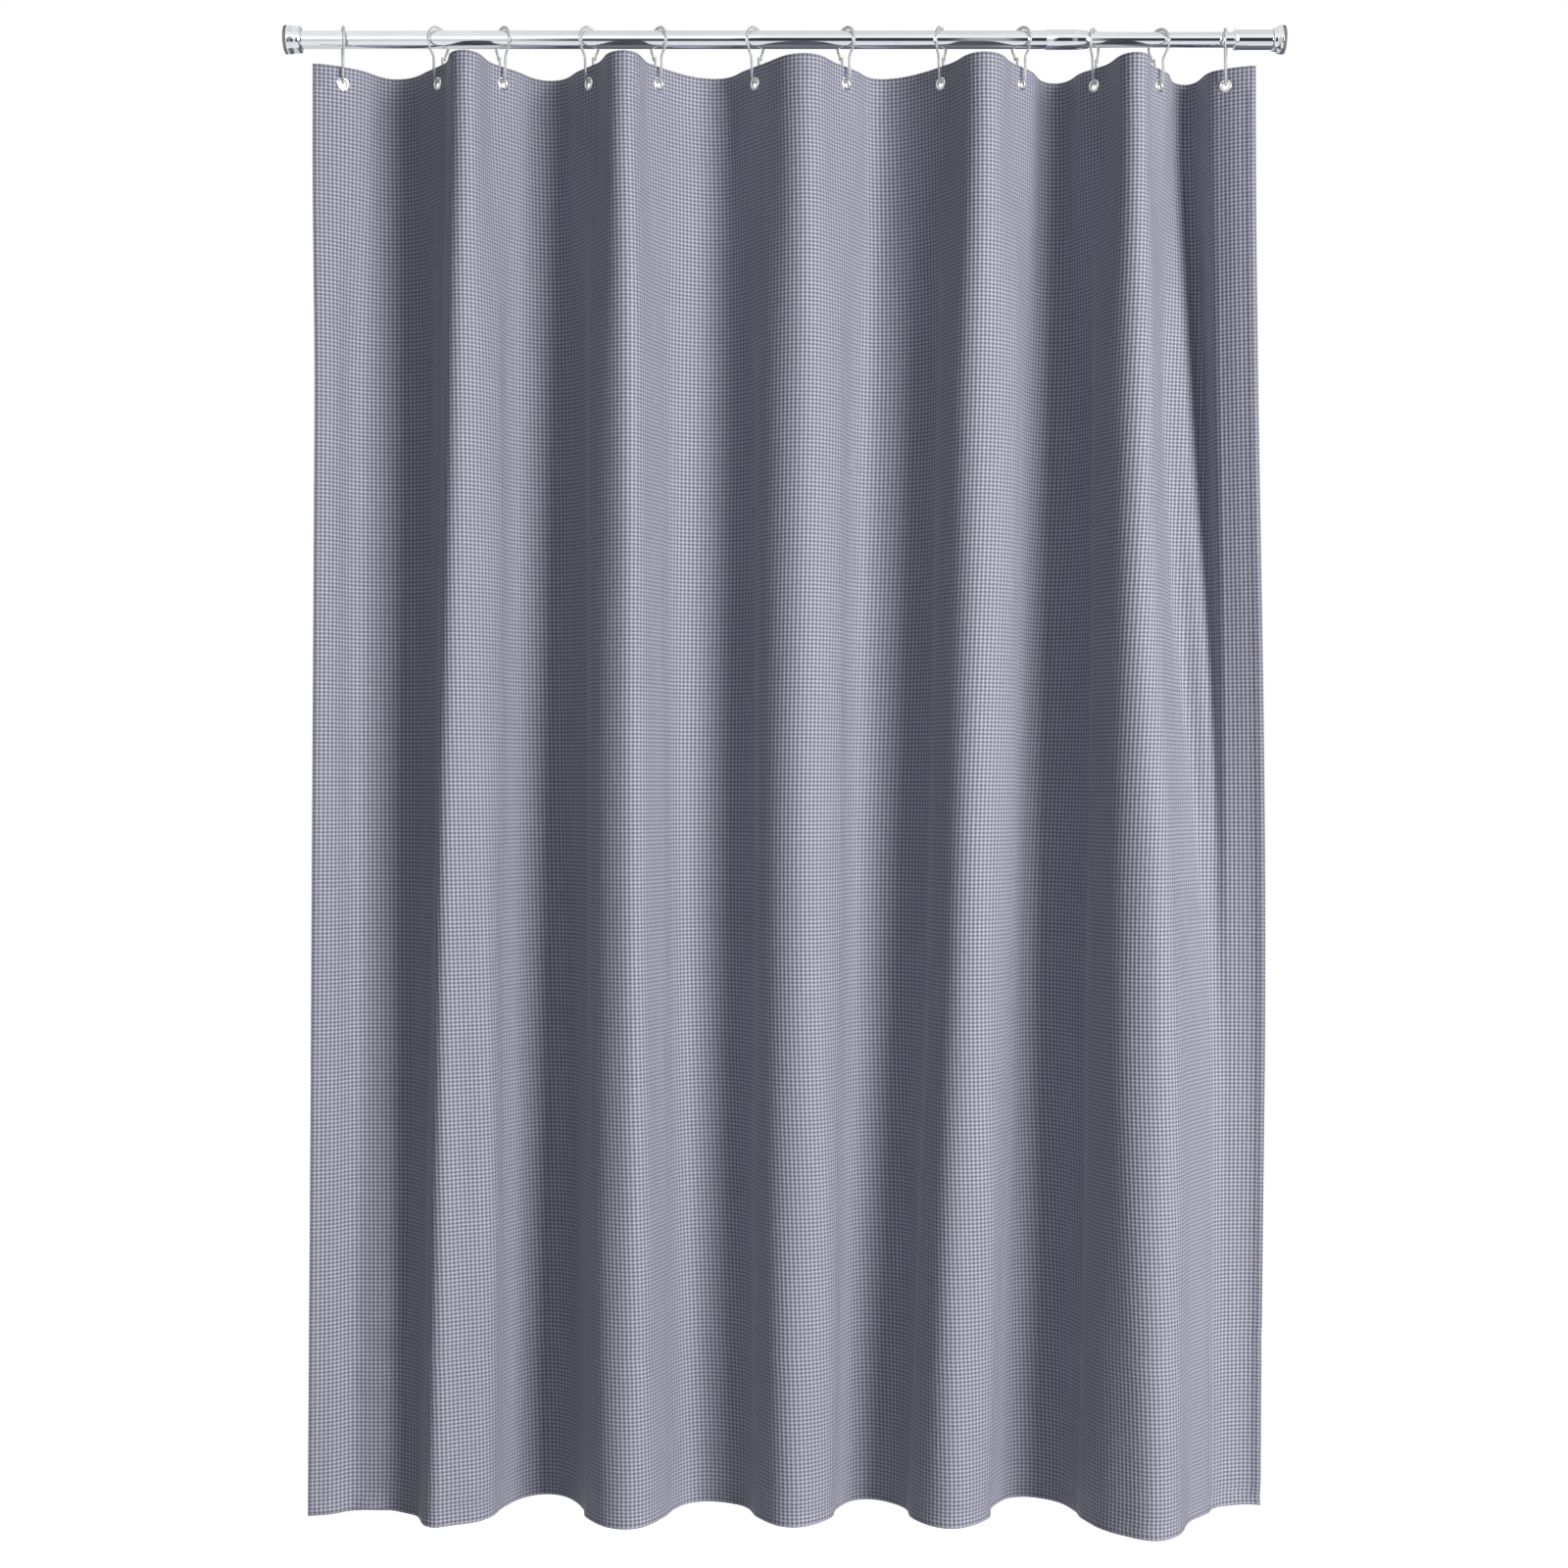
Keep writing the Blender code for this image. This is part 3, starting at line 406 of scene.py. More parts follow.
def build_cap(node, body, taper, neck_share, faces_left):
    """A cup against the wall: a rolled rim, a flared side and a rounded small end."""
    low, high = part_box(node)
    rim, neck = (low.x, high.x) if faces_left else (high.x, low.x)
    outward = 1 if faces_left else -1
    outside = radius_of(node)
    tube = radius_of("outer_tube" if faces_left else "inner_tube") + BORE_PLAY
    small = outside - taper
    waist = rim + outward * (high.x - low.x) * neck_share
    inner_neck = neck - outward * CAP_WALL
    outline = [(tube, neck, 0), (small, neck, CAP_NECK_ROUNDING),
               (small, waist, CAP_WAIST_ROUNDING),
               (outside, rim + outward * CAP_RIM, CAP_SHOULDER_ROUNDING),
               (outside, rim, CAP_RIM_ROUNDING), (outside - CAP_WALL, rim, 0),
               (outside - CAP_WALL, rim + outward * CAP_RIM_INSIDE, 0),
               (small - CAP_WALL, waist, 0), (small - CAP_WALL, inner_neck, 0),
               (tube, inner_neck, 0)]
    rod_piece(soft_outline(outline), node, body, CHROME)


def build_sleeve():
    """A straight sleeve on the small tube with a low lip at its free end."""
    low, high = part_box("right_sleeve")
    lip = radius_of("right_sleeve")
    outside = lip - SLEEVE_LIP_RISE
    bore = radius_of("inner_tube") + BORE_PLAY
    outline = [(outside, high.x, SLEEVE_LIP_RISE),
               (outside, low.x + SLEEVE_STEP, SLEEVE_STEP_ROUNDING),
               (lip, low.x + SLEEVE_LIP, SLEEVE_LIP_ROUNDING),
               (lip, low.x, SLEEVE_LIP_ROUNDING), (bore, low.x, 0), (bore, high.x, 0)]
    rod_piece(soft_outline(outline), "right_sleeve", "small_tube", CHROME)


def build_pad(node, body, faces_left):
    """A rubber pad with a rounded rim, shallow grip rings on its face and a plug in the tube."""
    low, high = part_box(node)
    face, plug_end = (low.x, high.x) if faces_left else (high.x, low.x)
    inward = 1 if faces_left else -1
    outside = radius_of(node)
    tube = radius_of("outer_tube" if faces_left else "inner_tube")
    plug = tube - TUBE_WALL - PAD_PLUG_PLAY
    back = face + inward * PAD_THICKNESS
    groove = face + inward * GRIP_DEPTH
    outline = [(0.0, plug_end, 0), (plug, plug_end, PAD_ROUNDING), (plug, back, 0),
               (outside, back, PAD_ROUNDING), (outside, face, PAD_FACE_ROUNDING)]
    for ring in range(GRIP_RINGS):
        edge = outside - GRIP_FROM_RIM - ring * GRIP_PITCH
        outline += [(edge, face, 0), (edge - GRIP_SLOPE, groove, 0),
                    (edge - GRIP_WIDTH + GRIP_SLOPE, groove, 0), (edge - GRIP_WIDTH, face, 0)]
    outline.append((0.0, face, 0))
    rod_piece(soft_outline(outline), node, body, RUBBER)


def build_rod():
    build_tube("outer_tube", "rod")
    build_tube("inner_tube", "small_tube")
    build_collar()
    build_cap("left_cap", "rod", 0.0010, 0.45, True)
    build_cap("right_cap", "small_tube", 0.0030, 0.55, False)
    build_sleeve()
    build_pad("left_wall_pad", "rod", True)
    build_pad("right_wall_pad", "small_tube", False)
    for node, material in (("lock_collet", LOCK_PLASTIC), ("inner_tube_plug", LOCK_PLASTIC),
                           ("lock_cone", STEEL), ("lock_screw", STEEL)):
        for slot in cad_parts[node].material_slots:
            slot.material = material


# ------------------------------------------------------------------ where the folds lie
SIDE_MARGIN = 0.038
PITCH = (CLOTH_WIDTH - 2 * SIDE_MARGIN) / (RING_COUNT - 1)
GROMMET_DOWN = 0.0213                   # grommet centre below the cloth's top edge
GROMMET_ANGLE = math.radians(48)        # cloth at the grommets, from the rod's direction
END_ANGLE = math.radians(32)
EDGE_ANGLE = math.radians(8)
PATCH = 0.010                           # half width of the straight cloth at a grommet
BAND = 0.048                            # the folds hang straight down to here
FOLD_STEPS = 40                         # along a fold
MARGIN_STEPS = 8                        # along a side margin
# Each fold's crest beside the middle of its rings at the top, as a share of their distance.
TOP_SKEW = (0.06, 0.0, 0.01, 0.04, 0.10, 0.04, -0.12, 0.0, 0.03, 0.04, -0.06)
# How far each fold has moved sideways at the hem, and how much deeper it is there.
HEM_DRIFT = (-0.032, -0.026, -0.003, 0.007, 0.004, -0.002, -0.030, -0.040, -0.034, 0.003, 0.110)
HEM_DEPTH = (0.25, 0.75, 1.20, 0.85, 0.90, 0.90, 1.00, 0.90, 1.00, 1.25, 0.12)
EDGE_DRIFT = -0.006                     # left side edge at the hem
# The last fold opens on its way down and the cloth beyond it runs straight back to the edge.
TAIL_DRIFT = 0.016
TAIL_BACK = 0.038
TAIL_ANGLES = (0.85, 0.25, -0.25)       # last two crossings and the edge
TAIL_OPEN = 0.72                        # share of the way down by which it has opened
TAIL_LATE = 0.30                        # and at which the cloth beyond it starts to turn
LOOSENED = 0.22                         # and by which the grommets no longer turn the cloth
STEEPEST = math.radians(86)             # no part of a fold turns further than this
STEEPEN = 1.13                          # makes up for the shallower angles that the limit gives
CREST_RANGE = (0.3, 0.7)                # where along a fold's cloth its crest may lie
CREST_START = 0.35                      # where one side's swell gives way to the other's
CREST_SPAN = 0.30
SWELL_SPAN = 0.30                       # over which a swell grows from a crossing
FIRST_SWELL = 0.6
LARGEST_MOVE = 0.5                      # of a swell in one try
SWAY = 0.0035                           # how far a crest wanders sideways half way down


def grommet_middle(ring):
    low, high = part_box(f"grommet_{ring + 1:02d}")
    return (low + high) / 2


RING_X = [grommet_middle(ring).x for ring in range(RING_COUNT)]
GROMMET_Z = [grommet_middle(ring).z for ring in range(RING_COUNT)]
TURNS = [(END_ANGLE if ring in (0, RING_COUNT - 1) else GROMMET_ANGLE) * (-1) ** ring
         for ring in range(RING_COUNT)]
SIDES = [(-1) ** gap for gap in range(RING_COUNT - 1)]
TOP_GAPS = [right - left for left, right in zip(RING_X, RING_X[1:])]


def mix(first, second, share):
    return first + (second - first) * share


def ease(share):
    """From 0 to 1 with a soft start and end."""
    share = min(1.0, max(0.0, share))
    return share * share * (3 - 2 * share)


def solve(measure, target, low, high):
    """The value between low and high where a rising measure meets its target."""
    for _ in range(28):
        middle = (low + high) / 2
        low, high = (middle, high) if measure(middle) < target else (low, middle)
    return (low + high) / 2


def limited(angle):
    return STEEPEST * math.tanh(STEEPEN * angle / STEEPEST)


def fold_points(length, angles, crest, swell):
    """One fold in plan from (0, 0).  The cloth leaves and arrives at the given angles, is straight
    beside its ends, and bends evenly round its crest; swell makes each side steeper."""
    free = length - 2 * PATCH
    lean = (0.5 - crest) / (crest * (1 - crest))
    x, y = PATCH * math.cos(angles[0]), PATCH * math.sin(angles[0])
    points = [(x, y)]
    side = 1 if angles[0] > angles[1] else -1
    for step in range(FOLD_STEPS):
        share = (step + 0.5) / FOLD_STEPS
        share += lean * share * (1 - share)
        second = ease((share - CREST_START) / CREST_SPAN)
        more = (swell[0] * (1 - second) * ease(share / SWELL_SPAN)
                + swell[1] * second * ease((1 - share) / SWELL_SPAN))
        angle = mix(angles[0], angles[1], share) + side * (1 - 2 * share) * more
        x += math.cos(limited(angle)) * free / FOLD_STEPS
        y += math.sin(limited(angle)) * free / FOLD_STEPS
        points.append((x, y))
    points.append((x + PATCH * math.cos(angles[1]), y + PATCH * math.sin(angles[1])))
    return points


def solved_fold(length, reach, angles, crest):
    """fold_points whose end is at the given reach (along, back), by Newton's method."""
    swell = [FIRST_SWELL, FIRST_SWELL]
    small = 1e-4
    for _ in range(12):
        x, y = fold_points(length, angles, crest, swell)[-1]
        xa, ya = fold_points(length, angles, crest, (swell[0] + small, swell[1]))[-1]
        xb, yb = fold_points(length, angles, crest, (swell[0], swell[1] + small))[-1]
        a, b, c, d = (xa - x) / small, (xb - x) / small, (ya - y) / small, (yb - y) / small
        ex, ey = reach[0] - x, reach[1] - y
        if math.hypot(ex, ey) < 1e-6:
            break
        area = a * d - b * c
        steps = ((ex * d - ey * b) / area, (ey * a - ex * c) / area)
        swell = [old + max(-LARGEST_MOVE, min(LARGEST_MOVE, move))
                 for old, move in zip(swell, steps)]
    return fold_points(length, angles, crest, swell)


def sway(gap, down):
    """Small wandering of a fold's crest on its way down, in metres."""
    return SWAY * 4 * down * (1 - down) * math.sin(5.2 * down + 1.7 * gap)


def natural_angle(length, reach):
    """The cloth's angle at its crossings where a fold of that length bends evenly."""
    return math.sqrt(max(0.0, 6 * (1 - reach / length)))


def margin_points(start_angle, end_angle):
    """A side margin in plan from (0, 0), turning evenly from one angle to the other."""
    points = [(0.0, 0.0)]
    length = SIDE_MARGIN / MARGIN_STEPS
    for step in range(MARGIN_STEPS):
        angle = mix(start_angle, end_angle, (step + 0.5) / MARGIN_STEPS)
        x, y = points[-1]
        points.append((x + math.cos(angle) * length, y + math.sin(angle) * length))
    return points


def moved(points, start):
    return [(x + start[0], y + start[1]) for x, y in points]


def hanging_line(down):
    """The cloth's line in plan, from 0 at the top band to 1 at the hem, as long as it is wide."""
    last = RING_COUNT - 1
    tail = ease(down / TAIL_OPEN)
    late = ease((down - TAIL_LATE) / (1 - TAIL_LATE))
    crests, growth = [], []
    for gap in range(last):
        middle = (RING_X[gap] + RING_X[gap + 1]) / 2
        share = tail if gap == last - 1 else down
        crests.append(middle + mix(TOP_SKEW[gap] * TOP_GAPS[gap], HEM_DRIFT[gap], share)
                      + sway(gap, down))
        growth.append(mix(1.0, HEM_DEPTH[gap], share))
    crossings = [RING_X[0] + EDGE_DRIFT * down]
    crossings += [mix(RING_X[ring], (crests[ring - 1] + crests[ring]) / 2,
                      tail if ring == last - 1 else down) for ring in range(1, last)]
    crossings.append(RING_X[last] + TAIL_DRIFT * tail)
    backs = [0.0] * last + [TAIL_BACK * late]
    gaps = [right - left for left, right in zip(crossings, crossings[1:])]

    def lengths(deepen):
        return [math.sqrt(gaps[gap] ** 2 + backs[gap + 1] ** 2 + (deepen * growth[gap]) ** 2
                          * (PITCH ** 2 - TOP_GAPS[gap] ** 2)) for gap in range(last)]

    deepen = solve(lambda factor: sum(lengths(factor)), PITCH * last, 0.3, 3.0)
    cloth = lengths(deepen)
    natural = [natural_angle(length, gap) for length, gap in zip(cloth, gaps)]
    loosened = ease(down / LOOSENED)
    angles = [mix(TURNS[0], natural[0], loosened)]
    for ring in range(1, last):
        shallower = min(natural[ring - 1], natural[ring])
        angles.append(mix(TURNS[ring], shallower * SIDES[ring], loosened))
    angles[last - 1] = mix(angles[last - 1], TAIL_ANGLES[0], late)
    angles.append(mix(TURNS[last], TAIL_ANGLES[1], late))

    lead = margin_points(mix(EDGE_ANGLE, 0.0, down), angles[0])
    end_x, end_y = lead[-1]
    line = moved(lead, (crossings[0] - end_x, -end_y))
    for gap in range(last):
        beside = crests[gap] - (crossings[gap] + crossings[gap + 1]) / 2
        crest = 0.5 + beside / gaps[gap] * (gaps[gap] / cloth[gap]) ** 2
        crest = mix(crest, 0.5, tail) if gap == last - 1 else crest
        crest = max(CREST_RANGE[0], min(CREST_RANGE[1], crest))
        shape = solved_fold(cloth[gap], (gaps[gap], backs[gap + 1]), angles[gap:gap + 2], crest)
        line += moved(shape, line[-1])
    end = margin_points(angles[-1], mix(-EDGE_ANGLE, TAIL_ANGLES[2], late))
    line = np.array(line + moved(end[1:], line[-1]))
    along = np.concatenate([[0.0], np.cumsum(np.hypot(*np.diff(line, axis=0).T))])
    return line, along


# ------------------------------------------------------------------ curtain
COARSE = 0.0072                         # spacing of the cloth's columns between grommets
FINE = 0.0018                           # and around a grommet
FINE_REACH = 0.0108
ROW_SPACING = 0.0170
TOP_ROWS = [0.0, 0.0035, 0.0070]        # above the fine rows at the grommets
SIDE_HEM_SPACING = 0.0030
BAND_SPACING = 0.0060
FOOT_HEM_SPACING = 0.0040
HEM_STEP = 0.0006                       # half the slope from a hem to the single cloth
HOLE_RADIUS = 0.0062
TOP_EDGE_CLEAR = 0.0050                 # the cloth's edge above here isn't a hole's
DIRECTION_REACH = 0.0020                # half the length that the cloth's direction is read over
FIELD_THICKNESS = 0.0011
HEM_THICKNESS = 0.0022
PINCHED = 0.45                          # share of the hem's thickness that a grommet leaves
PINCH_START = 0.0085                    # from a grommet's middle
PINCH_FADE = 0.0040

CALM_START = 0.012                      # the cloth is smooth from a grommet's middle to here
CALM_FADE = 0.030
LOOSE_FROM = 0.30                       # down the cloth, where its slow waves are whole
WAVE_HEIGHT = 0.0010
PLEAT_HEIGHT = 0.0016                   # small pleats in the top hem, where a fold goes back
PLEAT_REACH = (0.020, 0.042)            # beside the fold's middle and down
PLEAT_TURNS = 380                       # radians to a metre
PLEAT_EDGE = 0.004
PUCKER_HEIGHT = 0.0003                  # along the top hem's seam
PUCKER_REACH = 0.006
PUCKER_TURNS = 340


def spaced(start, end, step):
    """Even steps from start to end, without the end."""
    count = max(1, round((end - start) / step))
    return [start + (end - start) * index / count for index in range(count)]


def cloth_columns():
    """Distances across the flat cloth: close together at the hems' steps and the grommets."""
    hem_end = SIDE_HEM - HEM_STEP
    found = spaced(0.0, hem_end, SIDE_HEM_SPACING) + [hem_end]
    here = SIDE_HEM + HEM_STEP
    for ring in range(RING_COUNT):
        middle = SIDE_MARGIN + ring * PITCH
        found += spaced(here, middle - FINE_REACH, COARSE)
        found += spaced(middle - FINE_REACH, middle + FINE_REACH, FINE)
        here = middle + FINE_REACH
    hem = CLOTH_WIDTH - SIDE_HEM
    found += spaced(here, hem - HEM_STEP, COARSE) + [hem - HEM_STEP]
    return found + spaced(hem + HEM_STEP, CLOTH_WIDTH, SIDE_HEM_SPACING) + [CLOTH_WIDTH]


def cloth_rows():
    """Distances down the flat cloth."""
    hem_end = TOP_HEM - HEM_STEP
    found = TOP_ROWS + spaced(GROMMET_DOWN - FINE_REACH, hem_end, FINE) + [hem_end]
    found += spaced(TOP_HEM + HEM_STEP, BAND, BAND_SPACING)
    hem = CLOTH_HEIGHT - FOOT_HEM
    found += spaced(BAND, hem - HEM_STEP, ROW_SPACING) + [hem - HEM_STEP]
    return found + spaced(hem + HEM_STEP, CLOTH_HEIGHT, FOOT_HEM_SPACING) + [CLOTH_HEIGHT]


def flat_cloth():
    """The cloth before it is hung: across in X, down in Y, with its grommet holes."""
    columns, rows = cloth_columns(), cloth_rows()
    shape = bmesh.new()
    bmesh.ops.create_grid(shape, x_segments=len(columns) - 1, y_segments=len(rows) - 1, size=1.0)
    for point in shape.verts:
        column = round((point.co.x + 1) / 2 * (len(columns) - 1))
        row = round((1 - point.co.y) / 2 * (len(rows) - 1))
        point.co = (columns[column], rows[row], 0.0)
    holes = [Vector((SIDE_MARGIN + ring * PITCH, GROMMET_DOWN, 0.0)) for ring in range(RING_COUNT)]
    near = [face for face in shape.faces if face.calc_center_median().y < 2 * GROMMET_DOWN
            and min((face.calc_center_median() - hole).length for hole in holes) < HOLE_RADIUS]
    bmesh.ops.delete(shape, geom=near, context="FACES")
    for point in shape.verts:
        if point.is_boundary and TOP_EDGE_CLEAR < point.co.y < 2 * GROMMET_DOWN:
            for hole in holes:
                if (point.co - hole).length < 2 * HOLE_RADIUS:
                    point.co = hole + (point.co - hole).normalized() * HOLE_RADIUS
    return shape


def hang(across, down):
    """Place of each flat point (across, down) of the cloth on the rod, as an array."""
    shares = np.clip((down - BAND) / (CLOTH_HEIGHT - BAND), 0, 1).round(6)
    place = np.zeros((len(across), 3))
    side = np.zeros((len(across), 2))
    for level in np.unique(shares):
        here = shares == level
        line, along = hanging_line(level)
        before, after = across[here] - DIRECTION_REACH, across[here] + DIRECTION_REACH
        for axis in (0, 1):
            place[here, axis] = np.interp(across[here], along, line[:, axis])
            side[here, axis] = (np.interp(after, along, line[:, axis])
                                - np.interp(before, along, line[:, axis]))
    middles = [SIDE_MARGIN + ring * PITCH for ring in range(RING_COUNT)]
    place[:, 2] = np.interp(across, middles, GROMMET_Z) + GROMMET_DOWN - down
    side /= np.linalg.norm(side, axis=1)[:, None]
    outward = np.column_stack([side[:, 1], -side[:, 0]])
    place[:, :2] += outward * relief(across, down)[:, None]
    return place


def from_grommet(ring, across, down):
    """Distance of each flat point from a grommet's middle."""
    return np.hypot(across - SIDE_MARGIN - ring * PITCH, down - GROMMET_DOWN)


def relief(across, down):
    """Small waves of the cloth out of its folds' smooth surface, in metres."""
    clear = np.ones_like(across)
    for ring in range(RING_COUNT):
        clear *= np.clip((from_grommet(ring, across, down) - CALM_START) / CALM_FADE, 0, 1)
    slow = (np.sin(across * 61 + 2.0 * np.sin(down * 2.3)) * np.sin(down * 3.1 + across * 2.7)
            + 0.6 * np.sin(across * 97 - down * 1.9 + 1.1))
    waves = WAVE_HEIGHT * slow * np.clip(down / LOOSE_FROM, 0, 1)
    for gap in range(RING_COUNT - 1):
        if SIDES[gap] > 0:
            beside = across - SIDE_MARGIN - (gap + 0.5) * PITCH
            reach = (np.exp(-(beside / PLEAT_REACH[0]) ** 2)
                     * np.exp(-(down / PLEAT_REACH[1]) ** 2) * np.clip(down / PLEAT_EDGE, 0, 1))
            waves += PLEAT_HEIGHT * reach * np.sin(beside * PLEAT_TURNS + gap)
    pucker = np.exp(-((down - TOP_HEM) / PUCKER_REACH) ** 2)
    waves += PUCKER_HEIGHT * pucker * np.sin(across * PUCKER_TURNS + 3 * np.sin(across * 23))
    return waves * clear


def cloth_weight(across, down):
    """Share of a hem's thickness: whole in the hems, pinched at the grommets."""
    in_hem = ((down < TOP_HEM) | (down > CLOTH_HEIGHT - FOOT_HEM)
              | (across < SIDE_HEM) | (across > CLOTH_WIDTH - SIDE_HEM))
    weight = np.where(in_hem, 1.0, FIELD_THICKNESS / HEM_THICKNESS)
    for ring in range(RING_COUNT):
        free = np.clip((from_grommet(ring, across, down) - PINCH_START) / PINCH_FADE, 0, 1)
        weight = np.minimum(weight, PINCHED + (1 - PINCHED) * free)
    return weight


def build_curtain():
    made = add_piece(flat_cloth(), "curtain_cloth", WAFFLE, 60)
    mesh = made.data
    flat = np.zeros(len(mesh.vertices) * 3)
    mesh.vertices.foreach_get("co", flat)
    across, down = flat.reshape(-1, 3)[:, :2].T
    corner = np.zeros(len(mesh.loops), int)
    mesh.loops.foreach_get("vertex_index", corner)
    layer = mesh.uv_layers.new(name="flat")
    layer.data.foreach_set("uv", np.column_stack([across, down])[corner].ravel())
    mesh.vertices.foreach_set("co", hang(across, down).ravel())
    group = made.vertex_groups.new(name="layers")
    for index, weight in enumerate(cloth_weight(across, down)):
        group.add([index], float(weight), "REPLACE")
    thicken = made.modifiers.new("thickness", "SOLIDIFY")
    thicken.thickness = HEM_THICKNESS
    thicken.offset = 0.0
    thicken.vertex_group = group.name
    bpy.context.view_layer.objects.active = made
    made.select_set(True)
    bpy.ops.object.modifier_apply(modifier=thicken.name)
    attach(made, "curtain")
    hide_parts("curtain_panel")
    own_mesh(made)


# ------------------------------------------------------------------ grommets
def ring_body(ring):
    return "curtain" if ring == RING_COUNT - 1 else f"ring_{ring + 1:02d}"


GROMMET_RADIUS = 0.0083
GROMMET_HOLE = 0.0050
BARREL_WALL = 0.0004
CLOTH_FACE = 0.00055                    # cloth's faces from the grommet's middle, where pinched
FLANGE_EDGE = 0.0003                    # thickness of the flange at its rim
DOME_HEIGHT = 0.0013
DOME_REACH = 0.0020                     # from the dome's crown outwards
DOME_STEPS = 8
THROAT = 0.0012                         # radius of the bend from the crown into the hole
THROAT_STEPS = 6
ROLL_DEPTH = 0.0006                     # where the barrel's end starts to roll over the washer
WASHER_RADIUS = 0.0080
WASHER_PLAY = 0.0001
WASHER_THICKNESS = 0.0006
WASHER_BEVEL = (0.0003, 0.00035)        # along the radius and through the thickness


def grommet_outline():
    """A domed flange with a rolled inner edge, the barrel, and the edge rolled on the washer."""
    foot = CLOTH_FACE + FLANGE_EDGE
    crown = CLOTH_FACE + DOME_HEIGHT
    middle = GROMMET_HOLE + THROAT
    points = [(GROMMET_HOLE + BARREL_WALL, CLOTH_FACE), (GROMMET_RADIUS, CLOTH_FACE),
              (GROMMET_RADIUS, foot)]
    for step in range(DOME_STEPS + 1):
        angle = math.pi / 2 * step / DOME_STEPS
        points.append((middle + DOME_REACH * math.cos(angle),
                       foot + (crown - foot) * math.sin(angle)))
    for step in range(1, THROAT_STEPS + 1):
        angle = math.pi / 2 * step / THROAT_STEPS
        points.append((middle - THROAT * math.sin(angle),
                       crown - THROAT * (1 - math.cos(angle))))
    roll = -CLOTH_FACE - ROLL_DEPTH
    return points + [(GROMMET_HOLE, roll), (GROMMET_HOLE + 0.0003, roll - 0.0004),
                     (GROMMET_HOLE + 0.0009, roll - 0.0006), (GROMMET_HOLE + 0.0015, roll - 0.0004),
                     (GROMMET_HOLE + 0.0016, roll), (GROMMET_HOLE + BARREL_WALL, roll)]


def washer_outline():
    """A flat ring against the cloth's back with a bevelled outer edge."""
    bore = GROMMET_HOLE + BARREL_WALL + WASHER_PLAY
    front, back = -CLOTH_FACE, -CLOTH_FACE - WASHER_THICKNESS
    along, through = WASHER_BEVEL
    return [(bore, front), (WASHER_RADIUS, front), (WASHER_RADIUS, back + through),
            (WASHER_RADIUS - along, back), (bore, back)]


def build_grommets():
    for ring in range(RING_COUNT):
        middle = Vector((RING_X[ring], 0.0, GROMMET_Z[ring]))
        facing = Matrix.Rotation(TURNS[ring], 4, "Z") @ Matrix.Rotation(-math.pi / 2, 4, "Z")
        for name, outline in (("grommet", grommet_outline()), ("grommet_washer", washer_outline())):
            shape = turned(outline, 40)
            bmesh.ops.transform(shape, matrix=Matrix.Translation(middle) @ facing,
                                verts=shape.verts)
            made = add_piece(shape, f"{name}_{ring + 1:02d}_fine", NICKEL, 50)
            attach(made, ring_body(ring))
            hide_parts(f"{name}_{ring + 1:02d}")
            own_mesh(made)


# ------------------------------------------------------------------ rings
RING_WIRE = 0.00165
CROWN_SWELL = 1.33                      # how much thicker the wire is over the rod
RING_HEIGHT = 0.0720
RING_PLAY = 0.0043                      # between the collar and the ring's loop
LEG_SPACING = 0.0160
NECK_ANGLE = math.radians(40)
BACK_TIP = 0.0030                       # the back leg's tip above the legs' shoulder
SHOULDER = 0.0034                       # the front leg starts to bend this far below it
SHOULDER_OUT = (0.0022, 0.0026)         # and ends this far out and up
SHOULDER_STEPS = 5
LATCH = (0.0042, 0.0008)                # the latch arm's tip out from the leg and up
FOOT_STEPS = 16
LOOP_STEPS = 48
RING_TURNS = (14, -33, 33, -33, 33, -33, 33, -24, 33, -24, 33, -14)     # about the vertical


def ring_path(top):
    """The ring's centre line as (depth, height, thickness share), from the back leg's tip round
    the bottom, up the front leg, over the rod and down to the latch arm."""
    loop = radius_of("collar") + RING_PLAY + RING_WIRE * CROWN_SWELL
    centre = top - RING_WIRE * CROWN_SWELL - loop
    bottom = top - RING_HEIGHT + RING_WIRE
    leg = LEG_SPACING / 2
    neck = loop * math.cos(NECK_ANGLE)
    leg_top = centre - loop * math.sin(NECK_ANGLE) - (neck - leg) / math.tan(NECK_ANGLE)
    points = [(leg, leg_top + BACK_TIP), (leg, (leg_top + bottom) / 2)]
    for step in range(FOOT_STEPS + 1):
        angle = -math.pi * step / FOOT_STEPS
        points.append((leg * math.cos(angle), bottom + leg + leg * math.sin(angle)))
    points.append((-leg, (leg_top + bottom + leg) / 2))
    below = Vector((-leg, leg_top - SHOULDER))
    corner = Vector((-leg, leg_top))
    above = Vector((-leg - SHOULDER_OUT[0], leg_top + SHOULDER_OUT[1]))
    for step in range(SHOULDER_STEPS):
        share = step / SHOULDER_STEPS
        first = below.lerp(corner, share)
        points.append(tuple(first.lerp(corner.lerp(above, share), share)))
    for step in range(LOOP_STEPS + 1):
        angle = math.pi + NECK_ANGLE - (math.pi + 2 * NECK_ANGLE) * step / LOOP_STEPS
        points.append((loop * math.cos(angle), centre + loop * math.sin(angle)))
    points.append((leg + LATCH[0], leg_top + LATCH[1]))
    return [(depth, height, 1 + (CROWN_SWELL - 1) * max(0.0, min(1.0, (height - centre) / loop)))
            for depth, height in points]


